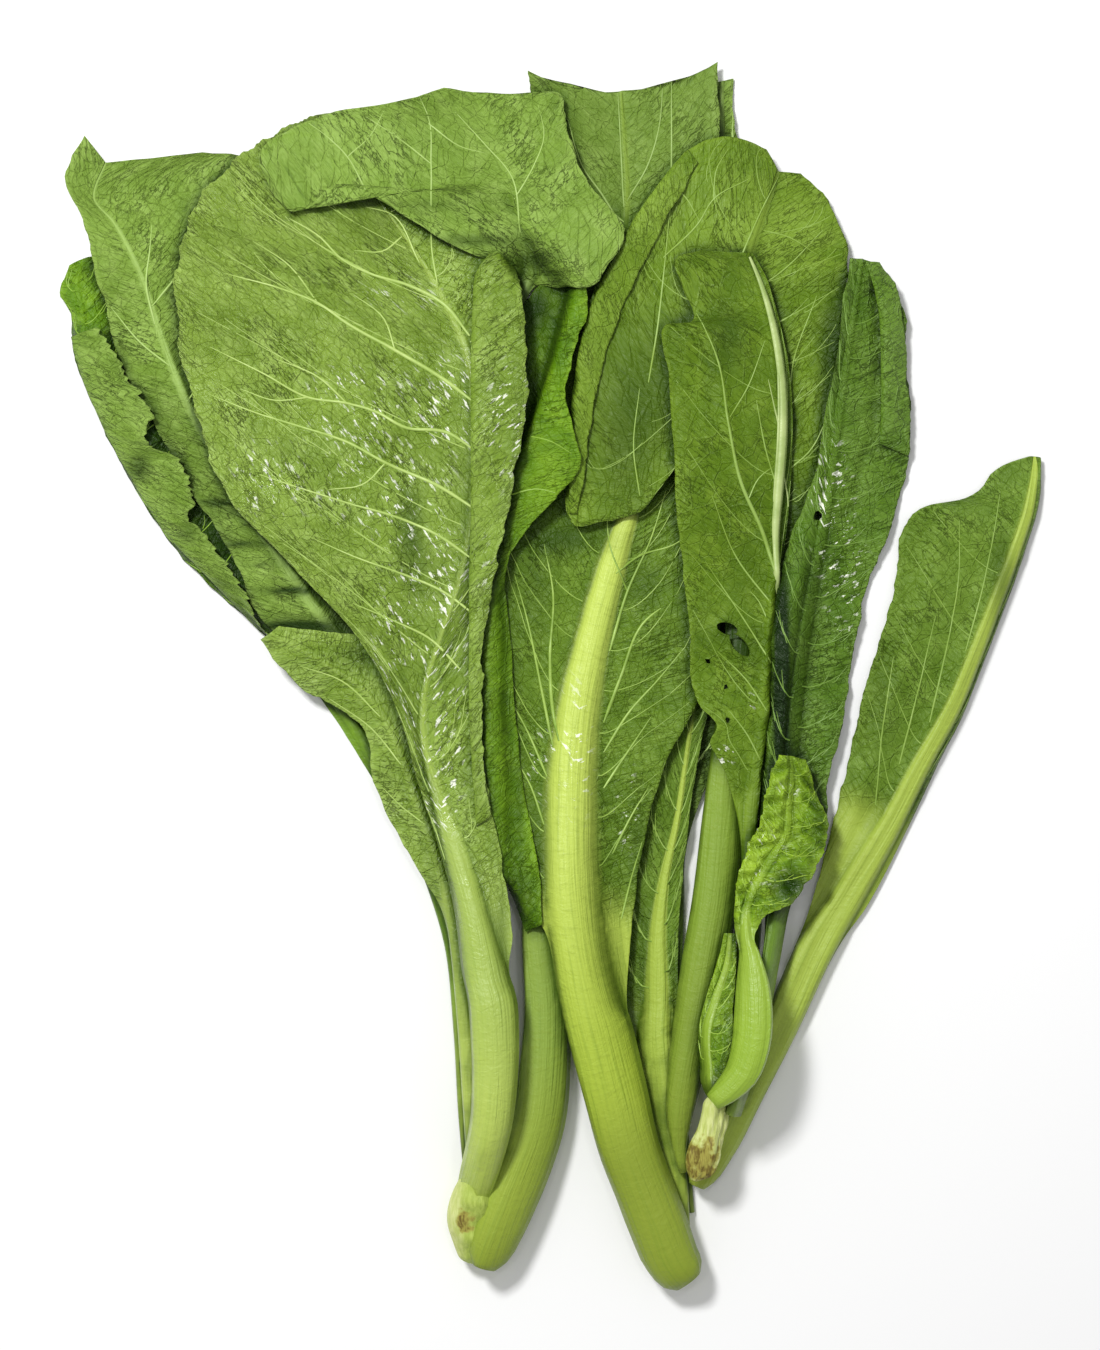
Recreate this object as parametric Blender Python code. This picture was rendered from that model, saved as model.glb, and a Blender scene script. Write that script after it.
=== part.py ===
"""Mustard greens: a loose bunch lying flat, sixteen leaves from three cut heads.

Every leaf is one closed solid, lofted from its round leaf stalk to its wide blade. The leaves are
drawn in plan, looking down on the bunch, and then laid one after another on a height map of what
already lies there, so that they rest on each other and never cross.
Run it with: blender --background --python part.py
"""

import math

import bmesh
import bpy
import numpy as np
from mathutils import Matrix, Vector

# Driving dimensions, in millimetres.
BUNCH_LENGTH = 415.0  # cut ends to the highest leaf tip
BLADE_THICKNESS = 1.0  # measured straight up, so a blade that slopes is a little thinner
STALK_DEPTH = 0.62  # depth of a leaf stalk and its midrib, as a share of their width
LAYER_GAP = 0.9  # clear height between a leaf and what it lies on
TOOTH = 1.1  # how far the teeth of a blade's edge stand in and out
RIPPLE = 1.6  # height of the waves along a blade's edge

# How a leaf is divided.
ROWS = 26  # sections along a leaf of full length
STALK_PACE = 0.45  # sections for each millimetre of stalk, against one of blade
RIB_STEPS = (0.0, 0.55, 1.0)  # columns from the middle of the rib to its side
BLADE_STEPS = (1 / 3, 2 / 3, 1.0)  # columns from the rib's side to the blade's edge
WIDEST_RIB = 0.85  # the rib's share of the half width where the leaf is all stalk
STALK_ROW = 0.6  # a row counts as blade once the rib is less than this share of it
SHARP_ANGLE = math.radians(50)

# The drawing below is 415 mm long, with its origin near the middle of the bunch.
MM = 0.001 * BUNCH_LENGTH / 415.0

# The height map.
CELL = 2.0
MAP_HALF = (190.0, 230.0)
SAMPLES = 8  # samples of a leaf between two rows or columns
SMOOTHING = 14  # rounds of smoothing, which set how stiffly a leaf bridges what is under it

# One entry for each leaf. stalk: (x, y, width) from the cut end up. rows: left edge, midrib, right
# edge and the rib's width, up to the tip; a third number is a height above the midrib's foot.
LEAVES = {
    "back_leaf_middle": {
        "colour": (0.20, 0.36, 0.08),
        "stalk": [(47, -182, 4), (45, -160, 4.5), (43.5, -135, 5), (42.5, -110, 5), (43, -85, 5)],
        "rows": [
            ((41, -60), (43.5, -60), (46, -60), 5),
            ((32, -22), (45, -20), (60, -22), 5),
            ((28, 20), (47, 20), (84, 18), 4.5),
            ((26, 60), (50, 60), (92, 62), 4),
            ((30, 100), (54, 100), (92, 104), 3.5),
            ((38, 140), (57, 140), (80, 144), 3),
            ((46, 172), (58, 170), (66, 172), 2.5),
            ((48, 188), (58, 188), (62, 189), 2),
            ((52, 200), (58, 201), (62, 202), 1.5),
        ],
    },
    "outer_leaf_left": {
        "colour": (0.23, 0.42, 0.12),
        "stalk": [(-27, -172, 4), (-28.5, -150, 5), (-30, -120, 5.5), (-33, -90, 6), (-42, -62, 6)],
        "rows": [
            ((-59, -37), (-55, -36), (-51, -35), 5),
            ((-91, 8), (-88, 11), (-84, 14), 4.5),
            ((-106, 22), (-103, 25, 3), (-99, 27), 4),
            ((-119, 34), (-115, 37, 5), (-108, 41), 4),
            ((-131, 48), (-127, 50, 6), (-117, 53), 3.5),
            ((-141, 64), (-137, 65, 7), (-121, 66), 3.5),
            ((-150, 81), (-146, 82, 8), (-131, 84), 3),
            ((-157, 97), (-153, 97, 8), (-139, 97), 3),
            ((-162, 111), (-157, 112, 7), (-146, 112), 2.5),
            ((-162, 122), (-158, 123, 5), (-149, 124), 2.5),
            ((-166, 131), (-160, 133, 3), (-151, 136), 2),
            ((-162, 139), (-158, 141), (-154, 142), 1),
        ],
    },
    "under_leaf_left": {
        "colour": (0.26, 0.45, 0.14),
        "stalk": [(-24, -172, 5), (-23, -150, 6), (-23, -120, 6), (-27, -90, 7), (-36, -60, 7)],
        "rows": [
            ((-50, -34), (-45, -35), (-40, -34), 6.5),
            ((-61, -16), (-53, -16), (-46, -12), 6),
            ((-80, 4), (-62, 3), (-48, 10), 5.5),
            ((-98, 20, -1), (-72, 24), (-52, 35), 5),
            ((-108, 42, -2), (-82, 46), (-58, 58), 4.5),
            ((-120, 64, -2), (-91, 68), (-64, 80), 4),
            ((-130, 86, -2), (-99, 90), (-70, 102), 3.5),
            ((-141, 106, -2), (-107, 112), (-78, 124), 3),
            ((-150, 132, -2), (-114, 134), (-86, 146), 2.5),
            ((-158, 154, -1), (-121, 154), (-94, 166), 2),
            ((-163.5, 168), (-127, 166), (-103, 175), 1.5),
            ((-157, 182, 2), (-134, 173), (-118, 177), 1),
        ],
    },
    "low_leaf_left": {
        "colour": (0.30, 0.52, 0.08),
        "rows_wanted": 20,
        "stalk": [(-25, -172, 5), (-26, -150, 6), (-28, -120, 6), (-30, -97, 6)],
        "rows": [
            ((-36, -80), (-33, -81), (-29, -80), 6),
            ((-44, -66), (-38, -62), (-31, -58), 5),
            ((-53, -50), (-44, -44), (-35, -38), 4.5),
            ((-60, -34), (-50, -28), (-39, -20), 4),
            ((-62, -19), (-56, -14), (-43, -2), 3.5),
            ((-73, -10), (-64, -4), (-50, 8), 3),
            ((-82, -6), (-73, 2), (-62, 13), 2.5),
            ((-90, 2), (-83, 8), (-76, 15), 2),
            ((-97, 12), (-94, 14), (-91, 16.5), 1.5),
        ],
    },
    "crinkled_leaf_top": {
        "colour": (0.28, 0.48, 0.14),
        "split": (132, 140),
        "ripple": 2.2,
        "stalk": [(-15, -176, 5), (-7, -155, 6), (-1, -130, 6), (0, -105, 6), (-4, -70, 6), (-8, -35, 5.5),
                  (-11, 5, 5), (-13, 45, 5), (-14, 85, 4.5), (-12.5, 112, 4), (-8.5, 130, 4)],
        "rows": [
            ((-9.5, 141), (-6.5, 140), (-3, 140), 4),
            ((-28, 148), (-8, 146), (7, 133), 3.8),
            ((-46, 158), (-11, 153), (16, 135), 3.5),
            ((-68, 167), (-14, 161), (25, 149), 3.2),
            ((-87, 156), (-16, 169), (14, 163), 3),
            ((-97, 176), (-18, 177), (7, 178), 2.5),
            ((-75, 189), (-20, 184), (5, 189), 2),
            ((-52, 193), (-23, 190), (3, 196), 1.5),
            ((-36, 198), (-26, 197), (-14, 196), 1),
        ],
    },
    "long_leaf_back": {
        "colour": (0.25, 0.43, 0.12),
        "stalk": [(-20, -198, 13), (-17, -188, 19), (-13, -175, 20), (-8.5, -165, 19), (-4, -150, 18),
                  (-1.5, -130, 17), (-1, -110, 15), (-3, -90, 13), (-4, -75, 11)],
        "rows": [
            ((-11, -62), (-4.5, -60), (3, -60), 9),
            ((-18, -30), (-4, -32), (12, -30), 7.5),
            ((-20, 8), (-2, 5), (20, 8), 6.5),
            ((-10, 55), (4, 50), (30, 50), 5.5),
            ((0, 98), (13, 98), (40, 95), 4.5),
            ((1, 140), (24, 143), (55, 135), 4),
            ((-3, 172), (26, 163), (57.5, 160), 3),
            ((-6, 192), (25, 182), (57, 184), 2.5),
            ((-8, 204.5), (24, 197.5), (56.5, 207), 1.5),
        ],
        "tip_sag": 2.5,
    },
    "slim_leaf_middle": {
        "colour": (0.24, 0.42, 0.12),
        "rows_wanted": 22,
        "stalk": [(45.5, -190, 4), (43.5, -170, 6), (41, -150, 7), (39.5, -130, 8)],
        "rows": [
            ((28, -110), (38.5, -110), (42, -110), 7),
            ((27, -86), (37, -88), (42.5, -84), 5.5),
            ((30, -62), (39.5, -68), (45, -62), 4.5),
            ((33, -42), (43, -50), (47, -44), 3.5),
            ((38, -20), (45.5, -32), (50.5, -26), 3),
            ((44, -2), (48, -14), (53.5, -10), 2.5),
            ((50, 8), (52, 4), (56, 3), 1.5),
        ],
    },
    "pale_leaf_front": {
        "colour": (0.42, 0.55, 0.14),
        "stalk": [(43, -204, 18), (41, -198, 19), (36.5, -185, 20), (31.5, -172, 20), (27, -160, 20.5),
                  (22, -140, 21.5), (17.5, -122, 22)],
        "rows": [
            ((3, -108), (14, -108), (26, -112), 21.5),
            ((-1.5, -86), (10, -88), (26.5, -96), 20.5),
            ((-11, -73), (8, -70), (28, -79), 19.5),
            ((-19, -50), (7.5, -50), (31, -60), 18.5),
            ((-22.5, -27), (8, -30), (35, -42), 17),
            ((-24, -2), (10, -10), (41, -25), 15),
            ((-24, 20), (14, 10), (50, -8), 12.5),
            ((-21, 42), (19, 30), (52, 18), 10.5),
            ((-13, 60), (24, 47), (54, 45), 8),
            ((0, 78), (30, 62), (55, 70), 5),
            ((15, 94), (37, 80), (55, 90), 3.5),
            ((32, 106), (42, 100), (51, 103), 2),
        ],
    },
    "round_leaf_back": {
        "colour": (0.28, 0.47, 0.08),
        "rows_wanted": 30,
        "stalk": [(42.5, -152, 7), (44.5, -138, 11), (48, -120, 14), (52, -98, 15), (56, -76, 15), (58.5, -50, 14),
                  (61, -20, 12), (64, 5, 11)],
        "rows": [
            ((58, 28), (66, 25), (74, 20), 9),
            ((56, 52), (67, 46), (81, 37), 8),
            ((53, 74), (68, 66), (88, 57), 7),
            ((46, 88), (68.5, 84), (92, 77), 6.5),
            ((39, 80), (68, 96), (95, 94), 6),
            ((32, 56), (67.5, 105), (97, 106), 5.5),
            ((19, 51.5), (67, 113), (98.5, 115), 5.2),
            ((7, 51), (66.5, 121), (99, 123), 5),
            ((9, 88, 2), (66, 129), (100, 130), 4.5),
            ((14, 127, 3), (66.5, 136), (100.5, 137), 4),
            ((27, 151, 3), (68, 144), (101, 143), 3.5),
            ((48, 177.5, 2), (71, 153), (98, 152), 3),
            ((62, 181), (74, 161), (93, 161.5), 2),
            ((73, 177), (77, 170), (85, 169.5), 1.5),
        ],
    },
    "bright_leaf_inner": {
        "colour": (0.30, 0.55, 0.05),
        "rows_wanted": 22,
        "stalk": [(-18, -176, 4), (-19, -150, 5), (-18.5, -120, 5), (-18, -90, 5), (-19, -50, 5), (-20.5, -10, 5)],
        "rows": [
            ((-24, 12), (-21, 12), (-18, 10), 4),
            ((-27, 32), (-22, 31), (-18.5, 30), 4),
            ((-30, 50), (-20, 47), (-8, 48), 3.5),
            ((-28, 66), (-16, 62), (3, 60), 3),
            ((-24, 82), (-10, 77), (10.5, 70), 2.5),
            ((-20, 96), (-5, 90), (7, 84), 2.5),
            ((-16, 108), (-1, 102), (5.5, 97), 2),
            ((-12, 119), (2, 114), (9, 110), 2),
            ((-6, 129), (5, 125), (13, 121), 1.5),
            ((2, 136), (7, 134), (13, 130), 1),
        ],
    },
    "broad_leaf_front": {
        "colour": (0.29, 0.49, 0.13),
        "ripple": 1.3,
        "stalk": [(-25, -171, 9), (-22, -163, 10.5), (-19.5, -148, 13), (-19, -130, 15), (-19.5, -113, 15)],
        "rows": [
            ((-29.5, -98), (-21.5, -99), (-13.5, -98), 15),
            ((-32, -78), (-25, -80), (-12.5, -86), 12.5),
            ((-37, -58), (-31, -60), (-16, -62), 9.5),
            ((-44, -36), (-37, -41), (-20, -42), 7.5),
            ((-51, -12), (-42, -24), (-23.5, -20), 5),
            ((-64, 12), (-42, -7), (-24, 2), 3.5),
            ((-88, 38), (-37, 11), (-23, 22, 2), 3),
            ((-108, 60), (-30, 32), (-18, 40, 4), 3),
            ((-119, 88), (-26, 54), (-13.5, 62, 6), 3),
            ((-125, 114), (-25, 78), (-9, 88, 7), 3.5),
            ((-126, 136), (-27, 104), (-9.5, 110, 7), 4.2),
            ((-121, 155), (-37, 128), (-13, 133, 6), 3.8),
            ((-106, 174), (-50, 149), (-28, 152), 2.8),
            ((-88, 185), (-61, 165), (-42, 170), 2),
            ((-72, 190), (-67, 182), (-56, 186), 1.2),
        ],
    },
    "folded_leaf_front": {
        "colour": (0.27, 0.46, 0.06),
        "stalk": [(58.5, -134, 6), (61, -123, 8), (65.5, -100, 8), (67.5, -76, 8), (68, -62, 7)],
        "rows": [
            ((65, -54), (68, -54), (71, -53), 6),
            ((59, -38), (69, -40), (73, -39), 6),
            ((54, -24), (71, -26), (75, -25), 5.5),
            ((51, -11), (73, -9), (77, -8), 5),
            ((47, 8), (74.5, 11), (78.5, 12), 5),
            ((45, 30), (75.5, 31), (79.5, 32), 5),
            ((42.5, 52), (76.5, 52), (80.5, 53), 5),
            ((41, 78), (77.5, 76), (81.5, 77), 5),
            ((39.5, 100), (77, 97), (81, 98), 4.8),
            ((38.5, 117), (74.5, 114), (78, 115.5), 4.2),
            ((48, 119), (71.5, 125), (75, 126.5), 3.5),
            ((42, 139), (68.5, 134), (71.5, 135.5), 2.8),
            ((50, 142), (66, 141.5), (68, 142), 2),
        ],
    },
    "dark_leaf_right": {
        "colour": (0.17, 0.36, 0.07),
        "ripple": 2.0,
        "stalk": [(61, -146, 6), (64, -136, 7), (68.5, -121, 7), (73.5, -96, 7)],
        "rows": [
            ((72.5, -76), (77, -77), (81.5, -76), 6.5),
            ((73, -54), (79, -57), (92, -55), 6),
            ((76, -30), (81, -33), (94, -35), 5),
            ((78, -8), (83, -9), (99.5, -14, -1), 5),
            ((79, 17), (86, 14), (102, 6, -2), 4.5),
            ((83, 42), (90, 38), (108, 32, -3), 4),
            ((89, 68), (94, 62), (117, 55, -4), 4),
            ((93, 90), (97, 86), (122, 80, -5), 3.5),
            ((97, 112), (100, 108), (120.5, 104, -5), 3),
            ((99, 130), (103, 126), (118.5, 125, -4), 2.5),
            ((101, 140), (105, 140), (109, 139), 1.5),
        ],
    },
    "far_leaf_right": {
        "colour": (0.30, 0.46, 0.12),
        "stalk": [(50, -172, 7), (56.5, -161, 9), (66.5, -141, 11), (77.5, -119, 12), (88, -96, 12.5)],
        "groove": 0.45,
        "rows": [
            ((89, -75, 1), (101, -73), (108, -77, -1), 12),
            ((97, -45, 2), (115, -50, 4), (121, -52, -3), 8.5),
            ((103, -20, 2), (126, -29, 7), (131.5, -30, -4), 7),
            ((107, -2, 2), (136, -11, 8), (140.5, -12, -4), 6),
            ((112, 14, 2), (143.5, 7, 9), (147.5, 6, -4), 5.5),
            ((117, 32, 2), (150.5, 25, 9), (154.5, 24, -4), 5),
            ((119, 49, 2), (156.5, 41, 9), (160.5, 41, -3), 4.5),
            ((127, 57, 2), (161, 54, 8), (164.5, 54, -2), 4),
            ((143, 61, 2), (163, 64, 6), (166, 63, 0), 3),
            ((153, 71, 2), (164, 71, 4), (166, 70, 2), 2),
            ((162, 74, 2), (164, 74, 2), (166, 73.5, 2), 1),
        ],
    },
    "small_leaf_inner": {
        "colour": (0.40, 0.55, 0.12),
        "rows_wanted": 12,
        "tooth": 0.4,
        "ripple": 0.8,
        "stalk": [(54.5, -141, 3.5), (52.8, -137, 4)],
        "rows": [
            ((50, -130), (52.3, -130), (57, -133), 3.6),
            ((49.5, -118), (52, -118), (60, -122), 3.2),
            ((52, -107), (55, -108), (61, -108), 2.8),
            ((56, -95), (59, -96), (62, -97), 2.2),
            ((58, -86), (60, -86), (62, -86), 1.4),
        ],
    },
    "young_leaf_curled": {
        "colour": (0.36, 0.56, 0.10),
        "rows_wanted": 22,
        "ripple": 3.0,
        "stalk": [(56, -140.5, 7), (62, -137, 9), (68, -128, 9.5), (71, -115, 10), (71, -102, 10), (68, -90, 9)],
        "rows": [
            ((61, -80), (64.5, -79), (68, -81), 6),
            ((62, -68), (68, -70), (75, -76), 4),
            ((66, -58), (74, -62), (84, -68), 3.5),
            ((70, -50), (79, -54), (90, -58), 3),
            ((73, -42), (80, -45), (92, -48), 2.5),
            ((74, -33), (80, -36), (87, -37), 2),
            ((76, -26), (81, -27), (86, -28), 1.2),
        ],
    },
}

# The pieces from the bottom of the bunch to the top. One leaf threads through the others: its foot lies
# low and its blade on top, so it is laid in two goes.
LAYING_ORDER = [
    ("back_leaf_middle", "whole"),
    ("outer_leaf_left", "whole"),
    ("under_leaf_left", "whole"),
    ("low_leaf_left", "whole"),
    ("crinkled_leaf_top", "foot"),
    ("long_leaf_back", "whole"),
    ("slim_leaf_middle", "whole"),
    ("pale_leaf_front", "whole"),
    ("round_leaf_back", "whole"),
    ("bright_leaf_inner", "whole"),
    ("broad_leaf_front", "whole"),
    ("crinkled_leaf_top", "blade"),
    ("far_leaf_right", "whole"),
    ("crown_right", "stub"),
    ("folded_leaf_front", "whole"),
    ("dark_leaf_right", "whole"),
    ("small_leaf_inner", "whole"),
    ("young_leaf_curled", "whole"),
]

# The two cut stalks that the leaves grew from: a knob with a flat spot underneath, and a short stub.
CROWN = {"at": (-29.5, -186.0), "half": (5.8, 12.0, 7.5), "flat": 2.2, "colour": (0.62, 0.62, 0.30)}
STUB = {"foot": (50.0, -168.0), "top": (53.5, -146.0), "radius": 4.2, "sides": 14, "colour": (0.66, 0.70, 0.36)}


def spline_through(knots, values, wanted):
    """A smooth curve through the values at their knots, read at the wanted places."""
    slopes = np.gradient(values, knots, axis=0)
    span = np.clip(np.searchsorted(knots, wanted, side="right") - 1, 0, len(knots) - 2)
    width = (knots[span + 1] - knots[span])[:, None]
    t = (wanted - knots[span])[:, None] / width
    return (
        (2 * t**3 - 3 * t**2 + 1) * values[span]
        + (t**3 - 2 * t**2 + t) * width * slopes[span]
        + (3 * t**2 - 2 * t**3) * values[span + 1]
        + (t**3 - t**2) * width * slopes[span + 1]
    )


def drawn_rows(leaf):
    """Left edge, midrib, right edge (three numbers each) and rib width of every drawn row."""
    stalk = np.array(leaf["stalk"], float)
    along = np.gradient(stalk[:, :2], axis=0)
    along /= np.linalg.norm(along, axis=1)[:, None]
    across = np.stack([along[:, 1], -along[:, 0]], axis=1) * stalk[:, 2:] / 2
    rows = [(*(m - a), 0, *m, 0, *(m + a), 0, w) for m, a, w in zip(stalk[:, :2], across, stalk[:, 2])]
    for left, middle, right, width in leaf["rows"]:
        points = [(*point, 0)[:3] for point in (left, middle, right)]
        rows.append((*points[0], *points[1], *points[2], width))
    return np.array(rows, float)


def sections(leaf):
    """The drawn rows, smoothed and spaced along the leaf, closer together in the blade."""
    rows = drawn_rows(leaf)
    steps = np.linalg.norm(np.diff(rows[:, :9].reshape(-1, 3, 3), axis=0), axis=2).mean(axis=1)
    steps[: len(leaf["stalk"]) - 1] *= STALK_PACE
    knots = np.concatenate([[0], np.cumsum(steps)])
    count = leaf.get("rows_wanted", ROWS)
    return spline_through(knots, rows, np.linspace(0, knots[-1], count))


def leaf_grid(leaf):
    """Points of the leaf's middle surface, and its depth above and below each of them."""
    rows = sections(leaf)
    left, middle, right, width = rows[:, 0:3], rows[:, 3:6], rows[:, 6:9], np.maximum(rows[:, 9], 0.8)
    count = len(rows)
    number = np.arange(count)
    grid = np.zeros((count, 11, 3))
    above = np.zeros((count, 11))
    below = np.zeros((count, 11))
    groove = leaf.get("groove", 0.0)
    for side, edge in ((-1, left), (1, right)):
        reach = np.linalg.norm((edge - middle)[:, :2], axis=1)
        rib = np.minimum(WIDEST_RIB, width / 2 / reach)
        is_blade = np.clip((STALK_ROW - rib) / STALK_ROW, 0, 1)
        outward = (edge - middle) / reach[:, None]
        tooth = leaf.get("tooth", TOOTH) * is_blade * np.where(number % 2, 1, -1)
        tipped = edge + outward * tooth[:, None] * [1, 1, 0]
        tipped[:, 2] += leaf.get("ripple", RIPPLE) * is_blade * np.sin(number * 1.9 + side)
        shares = [rib * step for step in RIB_STEPS] + [rib + (1 - rib) * step for step in BLADE_STEPS]
        for column, share in enumerate(shares):
            place = 5 + side * column
            grid[:, place] = middle + (tipped - middle) * share[:, None]
            grid[-1, place, 1] -= leaf.get("tip_sag", 0) * 4 * share[-1] * (1 - share[-1])
            # The blade's height follows its edge only towards the edge, so the halves are dished.
            grid[:, place, 2] = middle[:, 2] + (tipped[:, 2] - middle[:, 2]) * share**1.6
            from_middle = np.minimum(1, share * reach / (width / 2))
            roundness = np.sqrt(1 - from_middle**2)
            hollow = groove * np.exp(-((share * reach / (0.22 * width)) ** 2))
            depth = STALK_DEPTH * width
            above[:, place] = np.maximum(BLADE_THICKNESS / 2, depth * (0.55 * roundness - hollow * 0.5))
            below[:, place] = np.maximum(BLADE_THICKNESS / 2, depth * 0.45 * roundness)
    return grid, above, below


def refined(values):
    """A grid's values with SAMPLES steps between neighbours, as flat patches would give."""
    for axis in (0, 1):
        count = values.shape[axis]
        places = np.linspace(0, count - 1, (count - 1) * SAMPLES + 1)
        base = np.minimum(places.astype(int), count - 2)
        share = places - base
        share = share[:, None] if axis == 0 else share[None, :]
        low, high = np.take(values, base, axis), np.take(values, base + 1, axis)
        values = low + (high - low) * share
    return values


def neighbourhood_max(values):
    """The largest of each value and its eight neighbours."""
    padded = np.pad(values, 1, mode="edge")
    shifts = [padded[i : i + values.shape[0], j : j + values.shape[1]] for i in range(3) for j in range(3)]
    return np.max(shifts, axis=0)


def smoothed(values):
    """Each value averaged with its neighbours along both directions."""
    for axis in (0, 1):
        values = np.swapaxes(values, 0, axis)
        padded = np.concatenate([values[:1], values, values[-1:]])
        values = np.swapaxes((padded[:-2] + 2 * padded[1:-1] + padded[2:]) / 4, 0, axis)
    return values


class Pile:
    """How high the bunch is so far, over a square grid seen from above."""

    def __init__(self):
        self.height = np.zeros([int(2 * half / CELL) + 1 for half in MAP_HALF])

    def cells(self, points):
        places = np.rint((points[..., :2] + MAP_HALF) / CELL).astype(int)
        return places[..., 0], places[..., 1]

    def add(self, grid, above):
        fine = np.stack([refined(grid[..., axis]) for axis in range(3)], axis=-1)
        top = fine[..., 2] + refined(above)
        np.maximum.at(self.height, self.cells(fine), top)

    def lift_needed(self, grid, below):
        """How far each point has to rise for the leaf to clear the pile all round it."""
        fine = np.stack([refined(grid[..., axis]) for axis in range(3)], axis=-1)
        ground = neighbourhood_max(self.height)[self.cells(fine)]
        clearance = np.where(ground > 0, LAYER_GAP, 0)
        needed = ground + clearance + refined(below) - fine[..., 2]
        lift = np.zeros(grid.shape[:2])
        for i in range(lift.shape[0]):
            for j in range(lift.shape[1]):
                window = needed[
                    max(0, (i - 1) * SAMPLES) : (i + 1) * SAMPLES + 1,
                    max(0, (j - 1) * SAMPLES) : (j + 1) * SAMPLES + 1,
                ]
                lift[i, j] = window.max()
        return lift

    def settle(self, grid, below):
        """Lowers the leaf onto the pile: it stays smooth and comes nowhere nearer than the gap."""
        needed = self.lift_needed(grid, below)
        lift = needed.copy()
        for _ in range(SMOOTHING):
            lift = np.maximum(needed, smoothed(lift))
        grid[..., 2] += lift

    def settle_stub(self):
        """The two ends of the stub's axis once it lies on the pile, with the stub added to the pile."""
        ends = np.array([STUB["foot"], STUB["top"]])
        axis = ends[0] + (ends[1] - ends[0]) * np.linspace(0, 1, 3 * SAMPLES)[:, None]
        sideways = np.linspace(-1, 1, SAMPLES) * STUB["radius"]
        across = (ends[1] - ends[0])[::-1] * (1, -1) / np.linalg.norm(ends[1] - ends[0])
        cells = self.cells(axis[:, None] + sideways[:, None] * across)
        middle = neighbourhood_max(self.height)[cells].max() + LAYER_GAP + STUB["radius"]
        np.maximum.at(self.height, cells, middle + STUB["radius"])
        return [Vector((*end, middle)) for end in ends]


def lay_leaves():
    """Every leaf's grid and depths, once all the leaves lie on each other."""
    pile = Pile()
    laid = {}
    for name, share in LAYING_ORDER:
        if share == "stub":
            laid[name] = pile.settle_stub()
            continue
        leaf = LEAVES[name]
        if share != "blade":
            laid[name] = leaf_grid(leaf)
        grid, above, below = laid[name]
        if share == "whole":
            pile.settle(grid, below)
            pile.add(grid, above)
            continue
        foot_end, blade_start = (int(np.argmax(grid[:, 5, 1] > y)) for y in leaf["split"])
        part = slice(0, foot_end) if share == "foot" else slice(blade_start, None)
        pile.settle(grid[part], below[part])
        if share == "blade":
            between = np.linspace(0, 1, blade_start - foot_end + 3)[1:-1]
            low, high = grid[foot_end - 1, :, 2], grid[blade_start, :, 2]
            rise = between * between * (3 - 2 * between)
            for row, amount in zip(range(foot_end, blade_start), rise):
                grid[row, :, 2] = low + (high - low) * amount
        pile.add(grid[part], above[part])
    return laid


def middle_of_bunch(laid):
    """The middle, seen from above, of the box round all the leaves."""
    leaves = np.concatenate([laid[name][0].reshape(-1, 3) for name in LEAVES])
    return (leaves[:, :2].min(axis=0) + leaves[:, :2].max(axis=0)) / 2


def solid_from_grid(grid, above, below):
    """Vertices and faces of a closed solid: the grid raised, the grid lowered, and walls between."""
    rows, columns = grid.shape[:2]
    top, bottom = grid.copy(), grid.copy()
    top[..., 2] += above
    bottom[..., 2] -= below
    vertices = np.concatenate([top.reshape(-1, 3), bottom.reshape(-1, 3)]) * MM
    shift = rows * columns
    faces = []
    for i in range(rows - 1):
        for j in range(columns - 1):
            a, b = i * columns + j, i * columns + j + 1
            c, d = b + columns, a + columns
            for face in ((a, b, c), (a, c, d)):
                faces.append(face)
                faces.append(tuple(corner + shift for corner in reversed(face)))
    rim = [j for j in range(columns)]
    rim += [i * columns + columns - 1 for i in range(1, rows)]
    rim += [(rows - 1) * columns + j for j in range(columns - 2, -1, -1)]
    rim += [i * columns for i in range(rows - 2, 0, -1)]
    for a, b in zip(rim, rim[1:] + rim[:1]):
        faces.append((a, a + shift, b + shift))
        faces.append((a, b + shift, b))
    return vertices.tolist(), faces


def plain_material(name, colour):
    material = bpy.data.materials.new(name)
    material.use_nodes = True
    shader = material.node_tree.nodes["Principled BSDF"]
    shader.inputs["Base Color"].default_value = (*colour, 1.0)
    shader.inputs["Roughness"].default_value = 0.45
    shader.inputs["Metallic"].default_value = 0.0
    return material


def add_object(name, mesh, colour, collection):
    mesh.shade_smooth()
    mesh.set_sharp_from_angle(angle=SHARP_ANGLE)
    mesh.materials.append(plain_material(name, colour))
    collection.objects.link(bpy.data.objects.new(name, mesh))
    return mesh


def add_shape(name, shape, colour, collection):
    mesh = bpy.data.meshes.new(name)
    shape.to_mesh(mesh)
    shape.free()
    return add_object(name, mesh, colour, collection)


def build_leaf(name, laid, collection):
    mesh = bpy.data.meshes.new(name)
    vertices, faces = solid_from_grid(*laid)
    mesh.from_pydata(vertices, [], faces)
    return add_object(name, mesh, LEAVES[name]["colour"], collection)


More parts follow.
